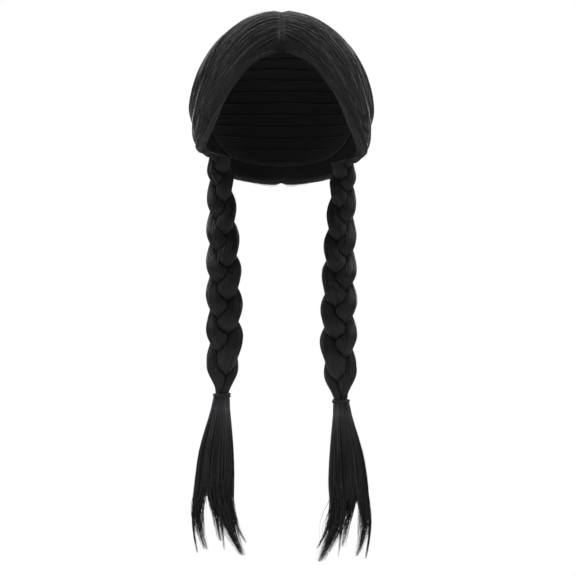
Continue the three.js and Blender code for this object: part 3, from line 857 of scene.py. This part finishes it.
def hair_section(name, side, seed, layers, line, bulges, q_range):
    """A whole section: its body, its fibres and its strays, as one piece."""
    rng = np.random.default_rng(seed)
    surface = section_surface(layers, line, bulges, side, rng.random(2 + len(RIDGES)))
    parts = [section_body(surface, lambda a, t: placed(layers[1](line(a, t), t), t, side))]
    parts += [laid(surface, side, rng, q_range, **hairs) for hairs in (COMBED_HAIRS, STRAY_HAIRS)]
    if line is front_line:
        parts += [temple_lock(surface, side, *row) for row in TEMPLE_LOCKS]
    add_piece(name + "_combed", name, parts, fibre)


SIDES = (("left", 1), ("right", -1))
# A section's layers and combed lines, how far its two edges bulge, and how far round them its hairs lie
FRONT = (front_layers, front_line, (EDGE_BULGE, 0), (-0.6, 1.1))
BACK = (back_layers, back_line, (0, EDGE_BULGE), (-0.1, 1.6))
for number, (word, side) in enumerate(SIDES):
    hair_section(f"front_hair_{word}", side, 10 + number, *FRONT)
    hair_section(f"back_hair_{word}", side, 20 + number, *BACK)
print_triangles("swept sections")

# %% [markdown]
# ## The braids
# In a three-strand plait each strand swings from side to side and passes over and under the others in
# turn, so its middle draws a figure of eight. Where two strands meet they press flat against each
# other. The section of a strand is therefore an oval that is cut off half-way to its neighbours.

# %% The run of a braid
BRAID_LENGTH = 225
BRAID_HALF_WIDTH = 17.3
BRAID_FORWARD = 66
BRAID_TURN = np.radians(12)
STRAND_GAP = 0.05
SWING, WEAVE = 0.42, 0.3  # how far a strand goes sideways and back, and half its own size across and
ACROSS, DEEP = 0.59, 0.52  # deep, all as shares of the braid's half width
STARTED = 0.35  # how much of a crossing is over where the braid begins

# Share of the length, half width, sideways shift, way forward, and the crossings behind it
BRAID_ROWS = np.array([
    (0, 0.69, 0, 0, 0),
    (0.104, 0.72, 0.05, 0.07, 1),
    (0.239, 0.82, 0.13, 0.28, 2),
    (0.381, 0.92, 0.21, 0.55, 3),
    (0.517, 0.97, 0.26, 0.8, 4),
    (0.662, 0.99, 0.29, 0.95, 5),
    (0.806, 1, 0.29, 1, 6),
    (0.9, 0.87, 0.23, 1, 6.5),
    (1, 0.42, 0.16, 1, 7),
])
braid_half, braid_inward, braid_forward, braid_crossings = (column(BRAID_ROWS, k) for k in range(1, 5))


def braid_middle(down, side):
    """The middle of a braid at a share of its length."""
    return space(
        side * (BUNDLE[0] - braid_inward(down) * BRAID_HALF_WIDTH),
        BUNDLE[1] - braid_forward(down) * BRAID_FORWARD,
        BUNDLE[2] - drop_of(side) - PIECE_GAP - down * BRAID_LENGTH,
    )


def strand_middle(strand, down):
    """Sideways by the swing times the cosine of the phase, and back by the weave times the sine of
    twice the phase. A strand's phase is a third of a turn behind its neighbour's."""
    half = braid_half(down) * BRAID_HALF_WIDTH
    phase = 2 * np.pi * (braid_crossings(down) - STARTED + strand) / 3
    return np.stack([SWING * half * np.cos(phase), -WEAVE * half * np.sin(2 * phase)], axis=-1)

# %% [markdown]
# The cut towards the neighbours is a smooth one: the shorter of two distances, with the corner between
# them rounded, since hair gives way a little where it is pressed. Two waves round the strand give it
# shallow lumps.

# %% The surface of a strand
CORNER_SHARPNESS = 18.0  # how sharp the corner is where a strand is pressed flat
FREE_FROM = (0.8, 0.96)  # the share of the oval from which on a strand counts as free


def strand_surface(strand, side, phases):
    """The point of a strand at an angle round it and a share of the braid's length. Its distance from
    the strand's middle is the oval's and the cuts', each to the power of minus the sharpness, added up,
    and the same root taken. A lift counts only where the strand bulges out, not where it is pressed."""

    def surface(angle, down, lift=0.0):
        half = braid_half(down) * BRAID_HALF_WIDTH
        own = strand_middle(strand, down)
        ray = np.stack([np.cos(angle), np.sin(angle)], axis=-1)
        oval = 1 / np.hypot(ray[..., 0] / (ACROSS * half), ray[..., 1] / (DEEP * half))
        lumps = 0.5 * np.abs(np.sin(3.5 * angle + 5 * down + phases[0]))
        lumps = lumps + 0.28 * np.abs(np.sin(8 * angle - 7 * down + phases[1])) - 0.45
        total = (oval + lumps) ** -CORNER_SHARPNESS
        for k in (1, 2):
            other = strand_middle((strand + k) % 3, down)
            apart = np.linalg.norm(other - own, axis=-1)
            towards = np.einsum("...i,...i", ray, other - own) / apart
            cut = (apart / 2 - STRAND_GAP / 2) / np.maximum(towards, 1e-3)
            total = total + np.where(towards > 1e-3, cut**-CORNER_SHARPNESS, 0)
        reach = total ** (-1 / CORNER_SHARPNESS)
        x, y = np.moveaxis(own + ray * (reach + lift * ramp(reach / oval, *FREE_FROM))[..., None], -1, 0)
        turned_x = x * np.cos(BRAID_TURN) - y * np.sin(BRAID_TURN)
        turned_y = x * np.sin(BRAID_TURN) + y * np.cos(BRAID_TURN)
        return braid_middle(down, side) + space(side * turned_x, turned_y, 0 * down)

    return surface

# %% [markdown]
# A strand's hair runs along it, so its fibres keep their angle round it while it swings. They are
# shorter than in the sections, about one crossing each, and a few loops stand out of the plait.

# %% Making the strands
STRAND_ROWS = 190
STRAND_RUN = (-0.009, 1.016)  # a little way into the bundle above and the tie below
STRAND_COLUMNS = 24
STRAND_STEPS = 11
STRAND_PERIMETER = 9  # millimetres that the combed attribute counts for each radian round a strand
STRAND_LENGTH = 300  # and for the whole length
STRAND_PROBES = (0.03, 0.002)  # steps round a strand and along it that find which way it faces

# As in the sections, with the angle in radians by which a hair may turn round its strand
STRAND_HAIRS = {
    "count": 470,
    "spans": (0.08, 0.16),
    "lifts": (0.15, 0.5),
    "halves": (0.2, 0.36),
    "twist": 0.5,
}
STRAND_STRAYS = {
    "count": 24,
    "spans": (0.05, 0.12),
    "lifts": (0.4, 1.8),
    "halves": (0.07, 0.12),
    "twist": 1.6,
}


def strand_fibres(surface, side, rng, count, spans, lifts, halves, twist):
    """Fibres along a strand, with the same rise and dive as in the sections."""
    angle = 2 * np.pi * (rng.permutation(count) + rng.random(count)) / count
    span = mix(*spans, rng.random(count))
    start = rng.random(count) * (1 - 0.7 * span) - 0.3 * span * (rng.random(count) < 0.1)
    start = np.maximum(start, STRAND_RUN[0])
    end = np.minimum(start + span, STRAND_RUN[1])
    share = np.linspace(0, 1, STRAND_STEPS)[None, :]
    down = mix(start[:, None], end[:, None], share)
    round_angle = angle[:, None] + twist * (rng.random((count, 1)) - 0.5) * share
    swell = swelling(share)
    lift = mix(*lifts, rng.random(count))[:, None] * swell**LIFT_ROUNDING - FIBRE_SINK
    turn, step = STRAND_PROBES
    across = surface(round_angle + turn, down) - surface(round_angle, down)
    along = surface(round_angle, down + step) - surface(round_angle, down - step)
    out = side * unit(np.cross(along, across))
    half = mix(*halves, rng.random(count))[:, None] * tapered(swell + 0 * down)
    tones = rng.random((count, 1))
    return fibres(surface(round_angle, down, lift), out, half, tones, angle * STRAND_PERIMETER)


def braid_strand(word, side, strand, seed):
    """One strand: its body and its fibres."""
    rng = np.random.default_rng(seed)
    surface = strand_surface(strand, side, 2 * np.pi * rng.random(2))
    down = np.linspace(*STRAND_RUN, STRAND_ROWS + 1)[:, None]
    angle, down = np.broadcast_arrays(angles_round(STRAND_COLUMNS), down)
    parts = [tube(surface(angle, down), space(angle * STRAND_PERIMETER, down * STRAND_LENGTH, SHADED_MASS_TONE))]
    parts += [strand_fibres(surface, side, rng, **hairs) for hairs in (STRAND_HAIRS, STRAND_STRAYS)]
    node = f"braid_{word}_strand_{strand + 1}"
    add_piece(node + "_combed", node, parts, fibre)


for number, (word, side) in enumerate(SIDES):
    for strand in range(3):
        braid_strand(word, side, strand, 30 + 3 * number + strand)
print_triangles("with the braids")

# %% [markdown]
# ## The tails
# Below the tie the hair opens like a broom and then falls apart into locks. A solid core keeps light
# from shining through the upper half. Round it and below it everything is fibres: each one starts in the
# tie, follows the spread of the tail at its own place in the section, and then joins the lock that its
# place belongs to, whose path passes three chosen places.

# %% The run of a tail
TIE_NECK_HALF = 6.6
TIE_NECK_DEPTH = 5.8
TIE_CORD = 1.5
TIE_TURNS = 3  # how many cords lie side by side
TIE_BELOW = TIE_TURNS * TIE_CORD + PIECE_GAP
TAIL_LENGTH = 156
TAIL_HALF_WIDTH = 20

# Share of the length down, then outward, inward and deep as shares of the half width
TAIL_ROWS = np.array([
    (0, 0.36, 0.36, 0.32),
    (0.035, 0.45, 0.36, 0.34),
    (0.1, 0.57, 0.4, 0.38),
    (0.18, 0.77, 0.46, 0.43),
    (0.33, 1.07, 0.54, 0.48),
    (0.48, 1.24, 0.58, 0.48),
    (0.58, 1.32, 0.58, 0.4),
    (0.7, 1.38, 0.62, 0.34),
    (1, 1.4, 0.9, 0.3),
])

# Three places of each lock, each as a share down and a share outwards, then its half width near the tip,
# its place fore and aft, its share of the hair, and how uneven its fibres end
LOCKS = np.array([
    (0.45, 1.1, 0.78, 1.38, 0.985, 1.16, 0.06, 0, 0.08, 0.2),
    (0.5, 1.0, 0.8, 1.1, 0.965, 0.75, 0.19, 0.05, 0.25, 0.3),
    (0.5, 0.4, 0.78, 0.24, 0.91, 0.08, 0.12, -0.08, 0.15, 0.36),
    (0.55, 0.1, 0.8, 0, 0.97, -0.13, 0.07, 0.1, 0.07, 0.3),
    (0.45, -0.08, 0.79, -0.32, 1, -1.02, 0.3, 0, 0.38, 0.2),
    (0.5, -0.42, 0.79, -0.66, 0.92, -1.15, 0.06, 0.08, 0.07, 0.14),
])
tail_outward, tail_inward, tail_deep = (column(TAIL_ROWS, k) for k in range(1, 4))


def trunk_place(radius, angle, down):
    """A place in the tail's oval section: outwards by the section's middle plus its half width times
    the radius times the cosine of the angle, fore and aft by its depth times radius and sine."""
    outward, inward = tail_outward(down), tail_inward(down)
    across = (outward - inward) / 2 + (outward + inward) / 2 * radius * np.cos(angle)
    return across * TAIL_HALF_WIDTH, tail_deep(down) * TAIL_HALF_WIDTH * radius * np.sin(angle)


def tail_point(side, across, deep, down):
    """A point below the braid's end, where the first stretch down passes through the tie."""
    drop = TIE_BELOW * ramp(down, -0.01, 0.02) + down * (TAIL_LENGTH - TIE_BELOW)
    return braid_middle(np.array(1.0), side) + space(side * across, deep, -drop)


def lock_middle(lock, down):
    """How far out a lock's middle lies: the parabola through its three places."""
    x, y = lock[0:6:2], lock[1:6:2]
    total = 0
    for k, (i, j) in enumerate(((1, 2), (0, 2), (0, 1))):
        total = total + y[k] * (down - x[i]) * (down - x[j]) / ((x[k] - x[i]) * (x[k] - x[j]))
    return total * TAIL_HALF_WIDTH

# %% The fibres of a tail
# How many, from least to most their half width, and how far a fibre waves
TAIL_HAIRS = {"count": 1050, "halves": (0.25, 0.5), "stray": 0.6}
TAIL_STRAYS = {"count": 22, "halves": (0.08, 0.12), "stray": 4.0}
TAIL_STEPS = 14
TAIL_CROWDING = 0.2  # the power that crowds the fibres towards the tail's outside
LOCK_MINGLING = 0.12  # how far a fibre may lie from the others of its lock
JOINING_DOWN = (0.5, 0.8)  # where on the way down a fibre joins its lock
CLOSING_DOWN = (0.6, 1)  # where a lock closes to its tip
LOCK_SIZES = (1.9, 0.55)  # a lock's size before that and at its tip, as shares of its half width
LOCK_DEPTH = 0.7  # and fore and aft, as a share of that
THINNING_DOWN = (0.55, 1)  # where on its length a fibre thins, and its width at the tip as a share
TIP_WIDTH = 0.16
# Painted light and shade down a tail: the tone is raised on top at the tie and back towards the tip, and
# lowered further down. This colours the hair lighter and darker, and also makes it glossier and rougher.
TAIL_PAINTED_LIGHT_AND_SHADE = (0.8, -1.1)  # what a fibre's tone gets on top at the tie, and further down
PAINTED_SHADE_DOWN = (0, 0.42)
TIP_PAINTED_LIGHT = 0.6  # and what it gets back towards the tip
TIP_PAINTED_LIGHT_DOWN = (0.6, 1)
TAIL_PERIMETER = 11  # millimetres that the combed attribute counts for each radian round a tail
CORE_PERIMETER = 9  # and round its core
CORE_LENGTH = 150  # and down the whole tail
CORE = 0.88  # the core's size as a share of the tail's
CORE_TIP = 0.2  # and at its lower end, as a share of that
CORE_END = 0.56
CORE_ROWS = 30
CORE_SIDES = 22


def tail_fibres(rng, side, count, halves, stray):
    """Sorted by their place outwards, the fibres are dealt to the locks in turn. Down to about half the
    tail a fibre keeps its place in the section. Below that it moves to its lock, and its place there
    shrinks towards the tip."""
    radius = rng.random(count) ** TAIL_CROWDING
    angle = 2 * np.pi * rng.random(count)
    order = np.argsort(-(radius * np.cos(angle)) + LOCK_MINGLING * rng.standard_normal(count))
    radius, angle = radius[order], angle[order]
    lock_of = np.searchsorted(np.cumsum(LOCKS[:, 8]), (np.arange(count) + 0.5) / count)
    lock_of = np.minimum(lock_of, len(LOCKS) - 1)
    share = np.linspace(0, 1, TAIL_STEPS)[None, :]
    down, across, deep = np.zeros((3, count, TAIL_STEPS))
    for k, lock in enumerate(LOCKS):
        mine = lock_of == k
        ends = lock[4] * (1 - lock[9] * rng.random(mine.sum()) ** 1.6)
        d = share * ends[:, None]
        trunk_x, trunk_y = trunk_place(radius[mine, None], angle[mine, None], d)
        own = rng.standard_normal((mine.sum(), 2)) * 0.5
        spread = lock[6] * TAIL_HALF_WIDTH * mix(*LOCK_SIZES, ramp(d, *CLOSING_DOWN))
        lock_x = lock_middle(lock, d) + own[:, :1] * spread
        lock_y = lock[7] * TAIL_HALF_WIDTH + own[:, 1:] * spread * LOCK_DEPTH
        joined_lock = ramp(d, *JOINING_DOWN)
        down[mine] = d
        across[mine] = mix(trunk_x, lock_x, joined_lock)
        deep[mine] = mix(trunk_y, lock_y, joined_lock)
    phase = rng.random((count, 1))
    wave = stray * share * np.sin(2 * np.pi * (phase + mix(0.5, 1.2, rng.random((count, 1))) * share))
    across, deep = across + wave, deep + wave * (rng.random((count, 1)) - 0.5)
    middle = trunk_place(0, 0, down)[0]
    out = unit(space(side * (across - middle), deep + 1e-3, 0 * deep))
    width = mix(*halves, rng.random(count))[:, None] * mix(1, TIP_WIDTH, ramp(share, *THINNING_DOWN))
    # Painted light and shade: lighter on top at the tie and towards the tip, darker between.
    tones = rng.random((count, 1)) + mix(*TAIL_PAINTED_LIGHT_AND_SHADE, ramp(share, *PAINTED_SHADE_DOWN))
    tones = tones + TIP_PAINTED_LIGHT * ramp(share, *TIP_PAINTED_LIGHT_DOWN)
    return fibres(tail_point(side, across, deep, down), out, width, tones, angle * TAIL_PERIMETER)


def tail_core(side):
    """The core, from inside the tie down to where the locks part, closing to a blunt end."""
    down = np.linspace(0, CORE_END, CORE_ROWS)[:, None]
    angle, down = np.broadcast_arrays(angles_round(CORE_SIDES), down)
    size = CORE * mix(1, CORE_TIP, ramp(down, 0.4, CORE_END))
    across, deep = trunk_place(size, angle, down)
    combed = space(angle * CORE_PERIMETER, down * CORE_LENGTH, SHADED_MASS_TONE)
    return tube(tail_point(side, across, deep, down), combed)


for number, (word, side) in enumerate(SIDES):
    rng = np.random.default_rng(50 + number)
    parts = [tail_core(side)] + [tail_fibres(rng, side, **hairs) for hairs in (TAIL_HAIRS, TAIL_STRAYS)]
    add_piece(f"tail_{word}_fibres", f"tail_{word}", parts, fibre)
print_triangles("with the tails")

# %% [markdown]
# ## The ties
# Each tie is one thin covered elastic, wound round the hair nearly four times. The cover is plaited
# thread, so the cord has small slanting ribs. A winding is a helix: the angle grows evenly and the
# height with it, and the last turn crosses over the others, which gives the small bumps at the sides.

# %% Winding the elastic
TIE_STEPS = 150
TIE_SIDES = 14
TIE_START = 0.6  # the angle at which the winding starts
COVER_RIBS = 5
RIB_HEIGHT = 0.05  # as a share of the cord's radius
RIB_TURN = 3.2  # radians by which the ribs turn in a millimetre
CORD_TONE = 0.5
CORD_END = 0.4  # the size of a cord's two ends, as a share

# How far the winding rises over the ones below, where it begins and ends in cords below the braid, and
# its turns
WINDINGS = ((0, 0.5, 2.5, 2.6), (0.55, 2.4, 0.6, 1.15))


def elastic_material():
    """Covered elastic: matt polyester thread, a little lighter than the hair, with a fine grain."""
    made, tree, combed = new_material("covered_elastic")
    grain = {"Vector": combed, "Scale": 1.1, "Distortion": 0.8, "Detail": 1}
    thread = add(tree, "ShaderNodeTexWave", grain, bands_direction="DIAGONAL").outputs["Fac"]
    colour = coloured(tree, thread, (0, "#161617"), (1, "#2e2e31"))
    finish(tree, colour, 0.75, specular=0.3, height=thread, strength=0.6, depth=0.2)
    return made


def wound_cord(path, thickness, seed, sides):
    """A ribbed cord along a path: its radius is half the thickness, with ribs that are sine waves
    slanting round it."""
    angle = angles_round(sides)
    length = lengths_along(path)[:, None]
    size = np.ones((len(path), 1))
    size[[0, -1]] = CORD_END
    ribs = np.sin(COVER_RIBS * angle + length * RIB_TURN + seed)
    radius = thickness / 2 * (1 + RIB_HEIGHT * ribs) * size
    return oval_tube(path, (0, 0, 1), angle, radius, radius, space(angle, length, CORD_TONE))


def winding(side, lift, low, high, turns):
    """One winding round the braid's end, which is an oval."""
    share = np.linspace(0, 1, TIE_STEPS)
    angle = 2 * np.pi * turns * share + TIE_START * side
    out = TIE_CORD / 2 + PIECE_GAP * 0.6 + lift * np.sin(np.pi * share) ** 0.5
    path = braid_middle(np.array(1.0), side) + space(
        (TIE_NECK_HALF + out) * np.cos(angle),
        (TIE_NECK_DEPTH + out) * np.sin(angle),
        -PIECE_GAP - TIE_CORD * mix(low, high, share),
    )
    return wound_cord(path, TIE_CORD, lift, TIE_SIDES)


elastic = elastic_material()
for word, side in SIDES:
    windings = [winding(side, *row) for row in WINDINGS]
    add_piece(f"hair_tie_{word}_wound", f"hair_tie_{word}", windings, elastic)
print_triangles("with the ties")

# %% [markdown]
# ## The cap
# Inside is a stretch cap: a fine net with rows of weft sewn on, each row a stitched ridge that carries
# the hair, and a band of elastic along its edge. It is one round with a thin wall. Only its inside can
# be seen, through the opening in front and from below.

# %% The cap's edge
# Angle round the cap from the front to the nape, and down as a share of the rise
CAP_EDGE = np.array([
    (0, 0.33),
    (25, 0.46),
    (48, 0.82),
    (66, 1.08),
    (90, 0.98),
    (115, 1.18),
    (145, 1.5),
    (180, 1.6),
])
CAP_INSET = 6
CAP_COLUMNS = 96
CAP_ROWS = 54
BAND_RISE = 0.35
BAND_FROM = (0.93, 0.95)  # where on the way down the elastic band begins
NET_CELL = 1.6
WEFTS = np.arange(18, 200, 11)  # how far from the top each row of weft lies
WEFT_THICKNESS = 1.5
WEFT_SIDES = 6
WEFT_STEPS = 110
WEFT_WANDER = 0.004  # radians by which a row strays up and down
WEFT_INSET = 0.03  # radians that it keeps from the cap's edge
WEFT_SINK = 0.1  # millimetres that it lies off the cap's wall
SHORTEST_WEFT = 6  # steps, and no row is shorter
HALVINGS = 20
cap_edge = column(CAP_EDGE, 1)


def cap_ways(round_angle, tilt):
    """Directions by their angle round the cap from the front and their tilt from straight up."""
    return space(np.sin(round_angle) * np.sin(tilt), -np.cos(round_angle) * np.sin(tilt), np.cos(tilt))


def edge_tilt(round_angle):
    """The tilt at which the round has come down to the cap's edge, found by halving the range."""
    degrees = np.degrees(round_angle)
    height = HEAD_RISE * (1 - cap_edge(np.minimum(degrees, 360 - degrees)))
    low, high = np.zeros_like(round_angle), np.full_like(round_angle, np.pi)
    for _ in range(HALVINGS):
        tilt = (low + high) / 2
        ways = cap_ways(round_angle, tilt)
        above = head_reach(ways) * ways[..., 2] > height
        low, high = np.where(above, tilt, low), np.where(above, high, tilt)
    return low - CAP_INSET / HEAD_RISE


def net_material():
    """Stretch net: matt nylon thread in small meshes."""
    made, tree, combed = new_material("stretch_net")
    mesh = {"Vector": combed, "Scale": 1 / NET_CELL, "Randomness": 1.0}
    kind = {"voronoi_dimensions": "2D", "feature": "DISTANCE_TO_EDGE"}
    cells = add(tree, "ShaderNodeTexVoronoi", mesh, **kind).outputs["Distance"]
    colour = coloured(tree, cells, (0, "#2c2c2f"), (0.22, "#161617"))
    finish(tree, colour, 0.85, specular=0.25, height=cells, strength=0.5, depth=0.2, invert=True)
    return made

# %% The cap and its wefts
def cap_body():
    """The cap's wall: rings from the top down the inside, and back up the outside. Its combed attribute
    is the place on the net when that is laid flat."""
    round_angle = angles_round(CAP_COLUMNS)
    down = ((np.arange(CAP_ROWS) + 1) / CAP_ROWS)[:, None]
    tilt = edge_tilt(round_angle) * down
    ways = cap_ways(*np.broadcast_arrays(round_angle, tilt))
    inside = head_reach(ways) - BAND_RISE * ramp(down, *BAND_FROM)
    outside = head_reach(ways) + CAP_WALL
    reach = np.concatenate([inside, outside[::-1]])[..., None]
    from_top = tilt * HEAD_RISE
    flat = space(from_top * np.sin(round_angle), from_top * np.cos(round_angle), 0)
    return tube(np.concatenate([ways, ways[::-1]]) * reach + MIDDLE, np.concatenate([flat, flat[::-1]]))


def weft_rows(down):
    """The stretches of one row of weft that lie inside the cap's edge."""
    round_angle = np.linspace(0.01, 2 * np.pi - 0.01, WEFT_STEPS)
    tilt = down / HEAD_RISE + WEFT_WANDER * np.sin(7 * round_angle + down)
    inside = tilt < edge_tilt(round_angle) - WEFT_INSET
    starts, ends = (np.flatnonzero(np.diff(np.r_[0, inside, 0]) == change) for change in (1, -1))
    for first, last in zip(starts, ends):
        if last - first > SHORTEST_WEFT:
            ways = cap_ways(round_angle[first:last], tilt[first:last])
            path = ways * (head_reach(ways) - WEFT_SINK)[:, None] + MIDDLE
            yield wound_cord(path, WEFT_THICKNESS, down, WEFT_SIDES)


cap_parts = [cap_body()] + [part for down in WEFTS for part in weft_rows(down)]
add_piece("wig_cap_net", "wig_cap", cap_parts, net_material())
print_triangles("with the cap")

# %% [markdown]
# ## Floor and light
# The wig keeps the form that it has when it is worn, so it is shown held up, with a pale floor below.
# Black hair shows its shape only by what it mirrors: a broad soft light above and behind draws the bright
# band over the crown, and one behind each side the thin bright lines down the temples. Weaker ones from
# the front and the sides lift the rest out of the black. The room round it is a dim grey for the hair,
# while the camera sees it as the white of the photograph.

# %% The floor
FLOOR_BELOW = 0.62
FLOOR_RADIUS = 0.6
FLOOR_SIDES = 96


def paper_material():
    """White paper with a fine grain."""
    made, tree, _ = new_material("white_paper")
    grain = add(tree, "ShaderNodeTexNoise", {"Scale": 900.0, "Detail": 2}).outputs[0]
    finish(tree, linear("#f4f4f4"), 0.8, specular=0.5, height=grain, strength=0.1, depth=0.1)
    return made


turn = angles_round(FLOOR_SIDES)[0]
floor_mesh = bpy.data.meshes.new("floor")
rim = space(FLOOR_RADIUS * np.cos(turn), FLOOR_RADIUS * np.sin(turn), -FLOOR_BELOW)
floor_mesh.from_pydata(rim.tolist(), [], [list(range(FLOOR_SIDES))])
floor_mesh.materials.append(paper_material())
floor = bpy.data.objects.new("floor", floor_mesh)
bpy.context.collection.objects.link(floor)

# %% The lights
ROOM = 0.19  # how bright the room is for the hair, where 1 is the white of the photograph
WHITE = (1, 1, 1, 1)


def soft_light(name, place, size, watts):
    """A rectangular light that faces the wig's middle, with its place and size in metres."""
    made = bpy.data.lights.new(name, "AREA")
    made.shape = "RECTANGLE"
    made.size, made.size_y = size
    made.energy = watts
    lamp = bpy.data.objects.new(name, made)
    lamp.location = place
    aim = np.array([0, 0, look_z]) - np.array(place)
    lamp.rotation_euler = mathutils.Vector(aim).to_track_quat("-Z", "Y").to_euler()
    bpy.context.collection.objects.link(lamp)


soft_light("overhead", (0, 1.2, 1.6), (4.4, 1.2), 95)
soft_light("front", (-0.5, -3.0, 0.5), (3.0, 3.0), 17)
for word, side in SIDES:
    soft_light("rim_" + word, (1.2 * side, 2.0, 0.1), (1.1, 2.0), 30)
    soft_light("side_" + word, (2.3 * side, -1.2, -0.2), (1.4, 1.4), 20)

world = bpy.data.worlds.new("studio")
bpy.context.scene.world = world
world.use_nodes = True
tree = world.node_tree
tree.nodes.clear()
rays = add(tree, "ShaderNodeLightPath").outputs["Is Camera Ray"]
dim, white = (
    add(tree, "ShaderNodeBackground", {"Color": WHITE, "Strength": strength}).outputs[0]
    for strength in (ROOM, 1.0)
)
both = add(tree, "ShaderNodeMixShader", {0: rays, 1: dim, 2: white}).outputs[0]
add(tree, "ShaderNodeOutputWorld", {"Surface": both})
bpy.context.scene.view_settings.view_transform = "Standard"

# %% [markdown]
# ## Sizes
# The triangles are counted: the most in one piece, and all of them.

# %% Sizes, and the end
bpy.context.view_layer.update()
most, total = max(triangles_made.values()), sum(triangles_made.values())
print(most, "triangles at most in one piece,", total, "in all")
